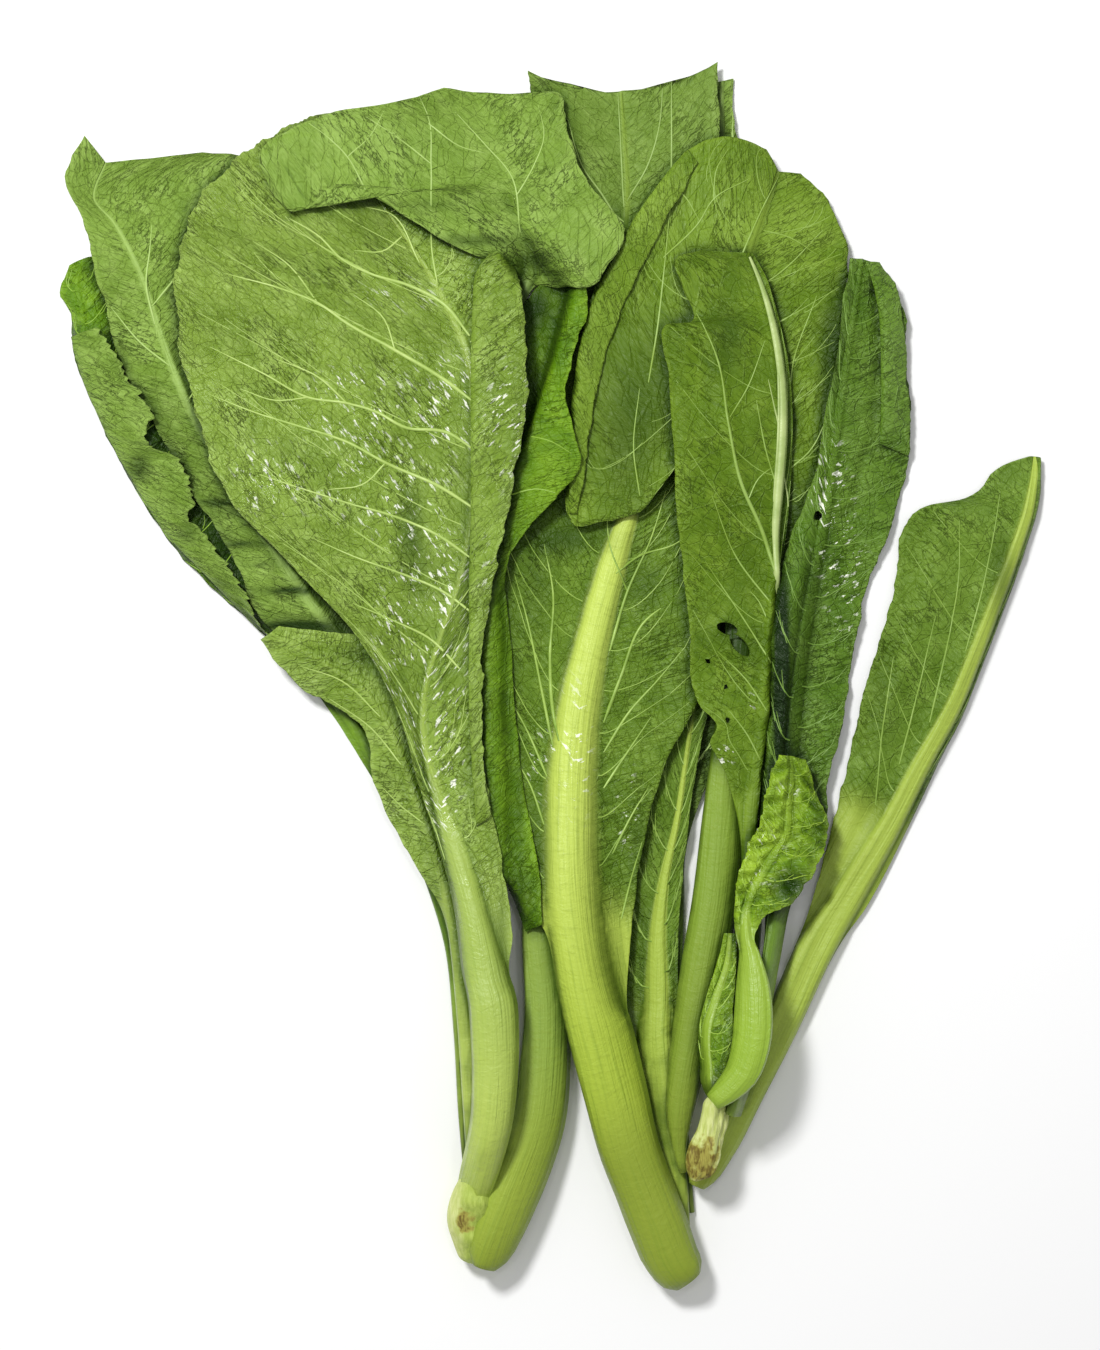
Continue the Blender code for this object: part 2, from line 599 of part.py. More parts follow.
def build_crown(collection):
    """The cut foot of the left head: a knob with a flat spot underneath, on which the bunch rests."""
    shape = bmesh.new()
    bmesh.ops.create_uvsphere(shape, u_segments=18, v_segments=10, radius=1)
    half = [size * MM for size in CROWN["half"]]
    middle = half[2] - CROWN["flat"] * MM
    bmesh.ops.scale(shape, vec=half, verts=shape.verts)
    bmesh.ops.translate(shape, vec=(CROWN["at"][0] * MM, CROWN["at"][1] * MM, middle), verts=shape.verts)
    cut = bmesh.ops.bisect_plane(
        shape,
        geom=shape.verts[:] + shape.edges[:] + shape.faces[:],
        plane_co=(0, 0, 0),
        plane_no=(0, 0, 1),
        clear_inner=True,
    )
    edges = [item for item in cut["geom_cut"] if isinstance(item, bmesh.types.BMEdge)]
    bmesh.ops.contextual_create(shape, geom=edges)
    bmesh.ops.recalc_face_normals(shape, faces=shape.faces)
    return add_shape("crown_left", shape, CROWN["colour"], collection)


def build_stub(foot, top, collection):
    """The cut stub of the right head, a stick laid over the feet of its leaves."""
    run = top - foot
    shape = bmesh.new()
    bmesh.ops.create_cone(
        shape,
        cap_ends=True,
        segments=STUB["sides"],
        radius1=STUB["radius"] * MM,
        radius2=STUB["radius"] * MM,
        depth=run.length * MM,
        matrix=Matrix.Translation((foot + top) / 2 * MM) @ run.to_track_quat("Z", "Y").to_matrix().to_4x4(),
    )
    return add_shape("crown_right", shape, STUB["colour"], collection)


def main():
    for obj in list(bpy.data.objects):
        bpy.data.objects.remove(obj)
    collection = bpy.data.collections.new("mustard_greens")
    bpy.context.scene.collection.children.link(collection)
    laid = lay_leaves()
    meshes = [build_leaf(name, laid[name], collection) for name in LEAVES]
    meshes.append(build_crown(collection))
    meshes.append(build_stub(*laid["crown_right"], collection))
    across, along = -middle_of_bunch(laid) * MM
    for mesh in meshes:
        mesh.transform(Matrix.Translation((across, along, 0)))


main()
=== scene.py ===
# Mustard greens: a loose bunch lying flat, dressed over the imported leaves.
# Every leaf is drawn again in fine rows and columns, and gets its height from the solid that it replaces.
import math

import bmesh
import bpy
import numpy as np
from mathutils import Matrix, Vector
from mathutils.bvhtree import BVHTree
from mathutils.noise import noise


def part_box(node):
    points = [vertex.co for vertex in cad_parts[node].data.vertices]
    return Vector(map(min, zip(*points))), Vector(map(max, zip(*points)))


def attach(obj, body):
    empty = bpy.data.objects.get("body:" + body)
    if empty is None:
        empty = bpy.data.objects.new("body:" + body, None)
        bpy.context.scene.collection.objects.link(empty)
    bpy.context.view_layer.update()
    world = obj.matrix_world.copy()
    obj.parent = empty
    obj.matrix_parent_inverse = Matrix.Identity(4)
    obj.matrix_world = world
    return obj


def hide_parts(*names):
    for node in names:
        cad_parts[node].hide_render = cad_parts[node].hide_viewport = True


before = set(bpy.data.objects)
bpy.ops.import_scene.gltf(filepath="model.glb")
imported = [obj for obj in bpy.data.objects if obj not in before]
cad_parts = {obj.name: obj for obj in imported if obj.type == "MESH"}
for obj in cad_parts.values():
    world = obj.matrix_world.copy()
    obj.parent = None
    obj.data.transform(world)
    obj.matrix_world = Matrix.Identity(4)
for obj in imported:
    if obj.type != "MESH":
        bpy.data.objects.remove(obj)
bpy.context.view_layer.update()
mm = 0.001

# how finely a leaf is drawn, and how it lies; sizes in millimetres
sheet = {
    "rowStep": 1.7,
    "stalkStep": 4.0,
    "ribColumns": 5,
    "bladeColumns": 20,
    "bladeThickness": 0.5,
    "ribDepth": 0.62,
    "layerGap": 0.35,
    "deepestOverlap": 2.6,
    "mapCell": 1.0,
    "mapHalf": (190.0, 230.0),
    "stalkPace": 0.45,
    "widestRib": 0.85,
    "ribAbove": 0.55,
    "restSmoothing": 10,
    "marginSmoothing": 8,
    "liftRounds": 12,
    "shadeReaches": (1.5, 3.5, 6.0),
    "shadeDirections": 8,
    "shadeHeights": (0.6, 3.0),
}


# stalk: x, y and width from the cut end up. rows: left edge, midrib, right edge and the rib's width.
# A third number in a row's place is a height. The tone spots and wetSpots: x, y, two radii and a strength; the tone
# spots are painted shade where negative and painted light where positive, mixed with the leaf's own darker and paler
# patches.
# veinLines: radius and the places it runs through. holes: x, y, two radii and degrees.
# The looks are named with the materials further down.
leafPlans = {}

leafPlans["back_leaf_middle"] = {
    "slot": "leaf_dull", "look": "dullGreen",
    "stalk": [(47, -182, 4), (45, -160, 4.5), (43.5, -135, 5), (42.5, -110, 5), (43, -85, 5)],
    "rows": [
        ((41, -60), (43.5, -60), (46, -60), 5), ((32, -22), (45, -20), (60, -22), 5),
        ((28, 20), (47, 20), (84, 18), 4.5), ((26, 60), (50, 60), (92, 62), 4),
        ((30, 100), (54, 100), (92, 104), 3.5), ((38, 140), (57, 140), (80, 144), 3),
        ((46, 172), (58, 170), (66, 172), 2.5), ((48, 188), (58, 188), (62, 189), 2),
        ((52, 200), (58, 201), (62, 202), 1.5),
    ],
    "veins": {"spacing": 20, "radius": 0.35},
}
leafPlans["outer_leaf_left"] = {
    "slot": "leaf_bright", "look": "freshGreen",
    "stalk": [(-27, -172, 4), (-28.5, -150, 5), (-30, -120, 5.5), (-33, -90, 6), (-42, -62, 6)],
    "rows": [
        ((-59, -37), (-55, -36), (-51, -35), 5), ((-91, 8), (-88, 11), (-82, 15), 4.5),
        ((-106, 22), (-103, 25, 3), (-92, 32), 4), ((-119, 34), (-115, 37, 5), (-99, 47), 4),
        ((-131, 48), (-127, 50, 6), (-108, 57), 3.5), ((-141, 64), (-137, 65, 7), (-112, 68), 3.5),
        ((-150, 81), (-146, 82, 8), (-124, 87), 3), ((-157, 97), (-153, 97, 8), (-132, 98), 3),
        ((-162, 111), (-157, 112, 7), (-140, 112), 2.5), ((-162, 122), (-158, 123, 5), (-144, 125), 2.5),
        ((-166, 131), (-160, 133, 3), (-148, 137), 2), ((-162, 139), (-158, 141), (-153, 142), 1),
    ],
    "teeth": 1.6, "crumple": 0.9, "ribShow": 0.2, "wrinkles": 0.6,
    "shadeAndToneSpots": [(-134, 92, 7, 14, -1.2), (-118, 66, 9, 12, -1.2), (-104, 45, 9, 11, -1.2), (-93, 30, 8, 9, -1.0),
              (-145, 112, 5, 12, -0.8)],
    "veins": {"spacing": 14, "radius": 0.25},
}
leafPlans["under_leaf_left"] = {
    "slot": "leaf_dull", "look": "dullGreen",
    "stalk": [(-24, -172, 5), (-23, -150, 6), (-23, -120, 6), (-27, -90, 7), (-36, -60, 7)],
    "rows": [
        ((-50, -34), (-45, -35), (-40, -34), 6.5), ((-61, -16), (-53, -16), (-46, -12), 6),
        ((-80, 4), (-64, 3), (-48, 10), 5.5), ((-98, 20, -1), (-79, 22), (-52, 35), 5),
        ((-108, 42, -2), (-94, 44), (-58, 58), 4.5), ((-122, 64, -2), (-107, 66), (-64, 80), 4),
        ((-134, 86, -2), (-120, 87), (-70, 102), 4), ((-145, 106, -2), (-130, 111), (-78, 124), 3),
        ((-152, 132, -2), (-138, 135), (-86, 146), 2.5), ((-158, 154, -1), (-147.5, 153), (-94, 166), 2),
        ((-163.5, 168), (-154, 161), (-103, 175), 1.5), ((-157, 182, 2), (-150, 173), (-118, 177), 1),
    ],
    "wrinkles": 0.7, "ribShow": 0.55,
    "shadeAndToneSpots": [(-98, 18, 24, 12, -0.35), (-112, 48, 9, 16, -0.5), (-133, 80, 8, 14, -0.4), (-75, -2, 16, 14, -0.35),
              (-86, 28.5, 11, 1.3, -0.9), (-84, 16.5, 12, 1.5, -1.0), (-101, 44, 8, 1.2, -0.7),
              (-112, 58, 7, 1.2, -0.6), (-96, 37, 7, 1.0, -0.5), (-86, 22.5, 12, 1.5, 0.5),
              (-92, 33, 10, 1.5, 0.5), (-104, 51, 8, 2, 0.4)],
    "ridges": [{"line": [(-102, 24), (-72, 21)], "width": 2.2, "height": 1.1},
               {"line": [(-106, 34), (-78, 33)], "width": 2.0, "height": 1.1},
               {"line": [(-98, 13), (-70, 8)], "width": 2.2, "height": 1.1},
               {"line": [(-114, 50), (-88, 51)], "width": 2.0, "height": 1.0}],
    "veinLines": [
        (0.45, [(-133, 118), (-136, 133), (-135, 143), (-134.5, 152)]),
        (0.4, [(-134, 124), (-124, 138), (-118, 155), (-116, 166)]),
        (0.4, [(-122, 92), (-112, 108), (-108, 124)]), (0.5, [(-104, 60), (-90, 62), (-76, 70)]),
        (0.4, [(-128, 104), (-138, 112), (-148, 124)]),
    ],
    "veins": {"spacing": 21},
}
leafPlans["low_leaf_left"] = {
    "slot": "leaf_bright", "look": "wetGreen",
    "stalk": [(-25, -172, 5), (-26, -150, 6), (-28, -120, 6), (-30, -97, 6)],
    "rows": [
        ((-36, -80), (-33, -81), (-29, -80), 5), ((-44, -66), (-38, -62), (-31, -58), 4),
        ((-53, -50), (-44, -44), (-35, -38), 4.5), ((-60, -34), (-50, -28), (-39, -20), 4),
        ((-62, -19), (-56, -14), (-43, -2), 3.5), ((-73, -10), (-64, -4), (-50, 8), 3),
        ((-82, -6), (-73, 2), (-62, 13), 2.5), ((-90, 2), (-83, 8), (-76, 15), 2),
        ((-97, 12), (-94, 14), (-91, 16.5), 1.5),
    ],
    "ribShow": 0.25, "shadeAndToneSpots": [(-86, 0, 12, 6, 0.5), (-62, 6, 14, 6, -0.6), (-55, -40, 7, 14, 0.4)],
    "veinLines": [(0.3, [(-50, -30), (-60, -18), (-74, -8)]), (0.3, [(-57, -14), (-70, -2), (-84, 3)]),
                  (0.25, [(-42, -50), (-50, -44), (-56, -38)])],
    "veins": {"spacing": 13},
}
leafPlans["crinkled_leaf_top"] = {
    "slot": "leaf_dull", "look": "dullGreen",
    "stalk": [(-20, -158, 3), (-11, -146, 5), (-1, -130, 6), (0, -105, 6), (-4, -70, 6), (-8, -35, 5.5),
              (-11, 5, 5), (-13, 45, 5), (-14, 85, 4.5), (-12.5, 112, 4), (-8.5, 130, 4)],
    "rows": [
        ((-18, 138), (-6.5, 137), (4, 130), 4), ((-32, 144), (-8, 144), (11, 129), 3.5),
        ((-50, 155), (-11, 153), (17, 133), 3), ((-70, 165), (-14, 161), (25, 149), 2.5),
        ((-87, 156), (-16, 169), (14, 163), 3), ((-97, 176), (-18, 177), (7, 178), 2.5),
        ((-75, 189), (-20, 184), (5, 189), 2), ((-52, 193), (-23, 190), (3, 196), 1.5),
        ((-36, 198), (-26, 197), (-14, 196), 1),
    ],
    "crumple": 0.9, "ribShow": 0.1, "wrinkles": 0.45,
    "shadeAndToneSpots": [(-24, 146, 22, 3, -0.6), (-4, 140, 14, 3, -0.5), (-40, 158, 12, 3, -0.4), (-70, 184, 26, 12, 0.35),
              (-12, 160, 12, 6, -0.25)],
    "ridges": [{"line": [(-84, 160), (-74, 168), (-60, 165), (-42, 157)], "width": 3.0, "height": 0.8},
               {"line": [(-36, 164), (-22, 166), (-10, 160)], "width": 1.6, "height": 0.8},
               {"line": [(-30, 156), (-14, 154), (0, 147)], "width": 1.6, "height": 0.9},
               {"line": [(-40, 172), (-28, 170), (-16, 174)], "width": 1.8, "height": 0.7}],
    "veinLines": [
        (0.3, [(-40, 156), (-40, 172), (-41, 188), (-44, 195)]),
        (0.3, [(-10, 149), (-13, 168), (-22, 179), (-32, 190)]),
        (0.3, [(-62, 163), (-68, 174), (-75, 181), (-83, 187)]),
        (0.25, [(-12, 160), (-6, 170), (-2, 182), (-4, 192)]), (0.25, [(-40, 172), (-50, 180), (-62, 188)]),
        (0.25, [(-41, 186), (-30, 178), (-22, 176)]), (0.2, [(-68, 174), (-60, 182), (-56, 190)]),
    ],
    "veins": {"spacing": 10},
}
leafPlans["long_leaf_back"] = {
    "slot": "leaf_dull", "look": "blueGreen",
    "stalk": [(-22, -198.5, 8), (-20.8, -195, 13.5), (-18, -187, 17.5), (-13.8, -176, 19.5), (-9, -164.5, 19.5),
              (-4, -150, 18.5), (-1.5, -130, 17), (-1, -110, 15), (-3, -90, 13), (-4, -75, 11)],
    "rows": [
        ((-11, -62), (-4.5, -60), (3, -60), 9), ((-18, -30), (-4, -32), (12, -30), 7.5),
        ((-20, 8), (-2, 5), (20, 8), 6.5), ((-10, 55), (4, 50), (30, 50), 5.5),
        ((0, 98), (13, 98), (40, 95), 4.5), ((1, 140), (24, 143), (55, 135), 4),
        ((-3, 172), (26, 163), (57.5, 160), 3), ((-6, 192), (25, 182), (57, 184), 2.5),
        ((-8, 204.5), (24, 197.5), (56.5, 207), 1.5),
    ],
    "tipSag": 2.5, "ribShow": 0.45,
    "shadeAndToneSpots": [(10, 150, 20, 14, -0.4), (52, 190, 6, 20, -0.25)],
    "ridges": [{"line": [(53.5, 206), (53, 180), (52, 160)], "width": 1.2, "height": -0.7},
               {"line": [(7, 200), (7, 178), (12, 160)], "width": 1.5, "height": 0.7}],
    "veinLines": [
        (0.4, [(25, 150), (18, 162), (11, 172), (6, 188)]), (0.4, [(25, 153), (17, 160), (9, 167)]),
        (0.35, [(25, 158), (24, 178), (23, 197)]), (0.35, [(41, 165), (41, 182), (41, 200)]),
        (0.3, [(26, 160), (33, 172), (37, 186), (38, 198)]), (0.3, [(30, 150), (40, 160), (48, 172)]),
    ],
    "veins": {"spacing": 17},
}
leafPlans["slim_leaf_middle"] = {
    "slot": "leaf_dull", "look": "farGreen",
    "stalk": [(45, -192, 5), (42.5, -172, 8), (38.5, -150, 10.5), (36, -130, 12)],
    "rows": [
        ((25, -110), (36, -110), (43, -110), 9), ((25, -86), (36.5, -88), (43.5, -84), 6.5),
        ((28, -62), (39, -68), (45.5, -62), 4.5), ((32, -42), (43, -50), (47.5, -44), 3.5),
        ((38, -20), (45.5, -32), (50.5, -26), 3), ((44, -2), (48, -14), (53.5, -10), 2.5),
        ((50, 8), (52, 4), (56, 3), 1.5),
    ],
    "veins": {"spacing": 14, "radius": 0.3},
}
leafPlans["pale_leaf_front"] = {
    "slot": "leaf_pale", "look": "paleStalk",
    "stalk": [(46.4, -203.4, 10.5), (44.4, -201, 16), (41, -196, 18.5), (36.5, -185, 20), (31.5, -172, 20),
              (27, -160, 20.5), (22, -140, 21.5), (17.5, -122, 22)],
    "rows": [
        ((3, -108), (14, -108), (26, -112), 21.5), ((-1.5, -86), (10, -88), (26.5, -96), 20.5),
        ((-11, -73), (8, -70), (28, -79), 19.5), ((-19, -50), (7.5, -50), (31, -60), 18.5),
        ((-22.5, -27), (8, -30), (35, -42), 17), ((-24, -2), (10, -10), (41, -25), 15),
        ((-24, 20), (14, 10), (50, -8), 12.5), ((-21, 42), (19, 30), (52, 18), 10.5),
        ((-13, 60), (24, 47), (54, 45), 8), ((0, 78), (30, 62), (55, 70), 5),
        ((15, 94), (37, 80), (55, 90), 3.5), ((32, 106), (42, 100), (51, 103), 2),
    ],
    "wrinkles": 0.5,
    "shadeAndToneSpots": [(-6, 30, 10, 26, -0.5), (30, -60, 5, 26, -0.5), (6, 46, 16, 6, -0.7), (32, 30, 8, 14, -0.5),
              (44, 5, 5, 22, 0.25), (-6, -60, 7, 22, -0.6)],
    "ridges": [{"line": [(1, -8), (0, 10), (1, 30), (0, 44)], "width": 1.6, "height": 0.9},
               {"line": [(20, -8), (31, 17), (45, 28)], "width": 1.8, "height": 0.8},
               {"line": [(25, -14), (36, 4), (47, 14)], "width": 2.0, "height": -0.9},
               {"line": [(23, 14), (30, 34), (40, 52)], "width": 2.0, "height": -0.9}],
    "wetSpots": [(8, -25, 7, 25, 0.6), (-4, -30, 5, 12, 0.6), (26, -45, 4, 14, 0.7)],
    "veinLines": [
        (0.7, [(3, -22), (1, -12), (0, 5), (1, 28), (-2, 44)]), (0.55, [(1, -24), (-3, -4), (-8, 20), (-12, 34)]),
        (0.45, [(-1, -34), (-8, -18), (-16, -4)]), (0.7, [(18, -16), (24, 0), (31, 17), (44, 27)]),
        (0.6, [(20, 8), (26, 28), (34, 46), (39, 62)]), (0.5, [(18, -26), (27, -12), (36, -2), (45, 9)]),
        (0.5, [(18, -38), (26, -26), (34, -14)]), (0.45, [(21, -60), (27, -48), (33, -38)]),
        (0.4, [(24, -82), (28, -66), (31, -56)]), (0.4, [(-2, -50), (-7, -36), (-13, -26)]),
        (0.4, [(22, 34), (30, 40), (42, 44), (50, 50)]), (0.35, [(26, 28), (20, 44), (19, 56)]),
    ],
    "veins": {"spacing": 17},
    "fineVeins": {"spacing": 15, "radius": 0.2, "rise": 46, "start": 0.02, "forks": ()},
}
leafPlans["round_leaf_back"] = {
    "slot": "leaf_bright", "look": "roundGreen",
    "stalk": [(44.6, -167, 2.5), (43.4, -158, 5), (43.4, -148, 9), (44.7, -138, 11.5), (48, -120, 14), (52, -98, 16),
              (56, -76, 16.5), (58.5, -50, 15), (61, -20, 12), (64, 5, 11)],
    "rows": [
        ((58, 28), (66, 25), (74, 20), 9), ((56, 52), (67, 46), (81, 37), 8),
        ((53, 74), (68, 66), (88, 57), 7), ((46, 88), (68.5, 84), (92, 77), 6.5),
        ((39, 80), (68, 96), (95, 94), 6), ((32, 56), (67.5, 105), (97, 106), 5.5),
        ((19, 51.5), (67, 113), (98.5, 115), 5.2), ((7, 51), (66.5, 121), (99, 123), 5),
        ((9, 88, 2), (66, 129), (100, 130), 4.5), ((14, 127, 3), (66.5, 136), (100.5, 137), 4),
        ((27, 151, 3), (68, 144), (101, 143), 3.5), ((48, 177.5, 2), (71, 153), (98, 152), 3),
        ((62, 181), (74, 161), (93, 161.5), 2), ((73, 177), (77, 170), (85, 169.5), 1.5),
    ],
    "ribShow": 0.7, "stalkEnd": 190,
    "shadeAndToneSpots": [(25, 80, 16, 34, -0.6), (36, 118, 14, 26, -0.25), (96, 105, 7, 30, -0.9), (66, 150, 30, 16, 0.5),
              (86, 150, 14, 16, 0.25), (44, 96, 8, 18, -0.4), (62, 14, 14, 26, -1.2), (77, 0, 5, 50, -1.2)],
    "veinLines": [
        (0.35, [(33, 98), (36, 116), (38, 133), (41, 165)]), (0.35, [(38, 140), (50, 152), (55, 160), (67, 167)]),
        (0.35, [(64, 140), (71, 156), (77, 168)]), (0.3, [(79, 68), (88, 76), (94, 88)]),
        (0.3, [(80, 85), (82, 105), (90, 128)]), (0.25, [(41, 165), (46, 160), (50, 153)]),
        (0.25, [(72, 150), (80, 148), (90, 142)]), (0.25, [(30, 60), (28, 76), (30, 96)]),
        (0.25, [(66, 128), (78, 136), (92, 150)]), (0.2, [(55, 160), (56, 170), (60, 177)]),
    ],
    "veins": {"spacing": 17},
    "fineVeins": {"spacing": 15, "radius": 0.16, "start": 0.02},
}
leafPlans["bright_leaf_inner"] = {
    "slot": "leaf_bright", "look": "freshGreen",
    "stalk": [(-21, -160, 3), (-19.6, -146, 5), (-18.5, -120, 5), (-18, -90, 5), (-19, -50, 5), (-20.5, -10, 5)],
    "rows": [
        ((-24, 12), (-21, 12), (-18, 10), 4), ((-27, 32), (-22, 31), (-18.5, 30), 4),
        ((-30, 50), (-20, 47), (-8, 48), 3.5), ((-28, 66), (-16, 62), (3, 60), 3),
        ((-24, 82), (-10, 77), (10.5, 70), 2.5), ((-20, 96), (-5, 90), (7, 84), 2.5),
        ((-16, 108), (-1, 102), (5.5, 97), 2), ((-12, 119), (2, 114), (9, 110), 2),
        ((-6, 129), (5, 125), (13, 121), 1.5), ((2, 136), (7, 134), (13, 130), 1),
    ],
    "teeth": 1.5, "ribShow": 0.25,
    "shadeAndToneSpots": [(-16, 100, 8, 26, -1.0), (-4, 124, 7, 10, -0.8), (0, 64, 8, 16, 0.6), (-18, 30, 4, 20, 0.3)],
    "ridges": [{"line": [(-14, 62), (-6, 84), (3, 108), (9, 128)], "width": 2.2, "height": 1.0}],
    "veinLines": [(0.25, [(-14, 60), (-4, 62), (4, 60)]), (0.25, [(-8, 80), (0, 78), (7, 74)])],
    "veins": {"spacing": 14},
}
leafPlans["broad_leaf_front"] = {
    "slot": "leaf_wet", "look": "wetGreen",
    "stalk": [(-26.6, -178, 10), (-25.0, -171, 12), (-22.6, -162, 13), (-19.8, -150, 14), (-18.2, -131, 15.5),
              (-18.6, -113, 16.5)],
    "rows": [
        ((-29.5, -98), (-21.5, -99), (-13.5, -98), 15), ((-32, -78), (-25, -80), (-12.5, -86), 12.5),
        ((-37, -58), (-31, -60), (-16, -62), 9.5), ((-44, -36), (-37, -41), (-20, -42), 7.5),
        ((-51, -12), (-42, -24), (-23.5, -20), 5), ((-64, 12), (-42, -7), (-24, 2), 3.5),
        ((-88, 38), (-37, 11), (-23, 22, 2), 3), ((-108, 60), (-30, 32), (-18, 40, 4), 3),
        ((-119, 88), (-26, 54), (-13.5, 62, 6), 3), ((-125, 114), (-25, 78), (-9, 88, 7), 3.5),
        ((-126, 136), (-27, 104), (-9.5, 110, 7), 4.2), ((-121, 155), (-37, 128), (-13, 133, 6), 3.8),
        ((-106, 174), (-50, 149), (-28, 152), 2.8), ((-88, 185), (-61, 165), (-42, 170), 2),
        ((-72, 190), (-67, 182), (-56, 186), 1.2),
    ],
    "puckers": 1.7, "fineness": 1.8, "ribShow": 0.45, "teeth": 1.6, "wrinkles": 0.6, "footDrop": (42, 14.5),
    "wetSpots": [(-44, 2, 14, 26, 1.1), (-58, 62, 22, 16, 0.6), (-66, 92, 16, 12, 0.8), (-34, 92, 12, 18, 0.7),
                 (-96, 66, 12, 14, 0.6), (-38, -32, 8, 20, 1.0), (-40, 30, 12, 20, 0.7), (-50, 128, 20, 8, 0.4)],
    "shadeAndToneSpots": [(-47, 50, 6, 20, -0.7), (-40, 30, 8, 14, -0.35), (-30, 60, 6, 30, -0.3), (-95, 150, 22, 22, 0.2),
              (-90, 66, 22, 30, 0.2), (-50, -8, 8, 20, -0.2), (-66, 150, 16, 8, -0.2), (-16, -85, 3, 20, -0.5),
              (-31, -66, 8, 24, 0.5), (-38, -30, 8, 18, 0.25)],
    "ridges": [{"line": [(-88, 154), (-84, 164), (-72, 170), (-56, 165), (-42, 158)], "width": 1.4,
                "height": -1.0},
               {"line": [(-50, 76), (-46, 50), (-44, 28)], "width": 5.0, "height": -1.3},
               {"line": [(-58, 80), (-50, 84), (-40, 82)], "width": 1.8, "height": 0.9},
               {"line": [(-96, 80), (-86, 74), (-70, 72)], "width": 2.2, "height": 0.5},
               {"line": [(-100, 60), (-84, 52), (-68, 50)], "width": 2.2, "height": 0.6},
               {"line": [(-92, 44), (-76, 36), (-62, 34)], "width": 2.2, "height": 0.6},
               {"line": [(-72, 24), (-60, 18), (-50, 14)], "width": 2.0, "height": 0.6}],
    "veinLines": [
        (0.75, [(-27, 114), (-36, 125), (-47, 131), (-60, 135), (-70, 140), (-78, 148), (-88, 154)]),
        (0.8, [(-25, 91), (-34, 98), (-52, 109), (-68, 118), (-78, 125), (-91, 130), (-109, 135)]),
        (0.65, [(-25, 75), (-34, 81), (-49, 83), (-58, 88), (-68, 91), (-81, 93), (-96, 101), (-114, 110)]),
        (0.65, [(-23, 54), (-37, 63), (-55, 71), (-68, 78), (-83, 83), (-99, 88), (-114, 94)]),
        (0.55, [(-25, 38), (-38, 47), (-52, 53), (-66, 57), (-82, 62), (-100, 68)]),
        (0.5, [(-25, 20), (-36, 28), (-50, 34), (-64, 39), (-80, 46)]),
        (0.45, [(-30, 2), (-40, 12), (-52, 18), (-66, 24)]),
        (0.4, [(-38, 132), (-40, 145), (-40, 156)]), (0.35, [(-50, 148), (-56, 143), (-66, 143)]),
        (0.35, [(-52, 109), (-56, 120), (-66, 128)]), (0.35, [(-68, 91), (-78, 100), (-92, 106)]),
        (0.35, [(-55, 71), (-62, 64), (-74, 62)]), (0.3, [(-78, 125), (-88, 138), (-100, 146)]),
        (0.35, [(-44, 139), (-54, 156), (-62, 158)]), (0.3, [(-62, 161), (-76, 160), (-90, 168)]),
        (0.3, [(-81, 93), (-92, 92), (-104, 96)]),
    ],
    "veins": {"spacing": 19},
    "fineVeins": {"spacing": 24, "radius": 0.18, "rise": 26, "start": 0.02},
}
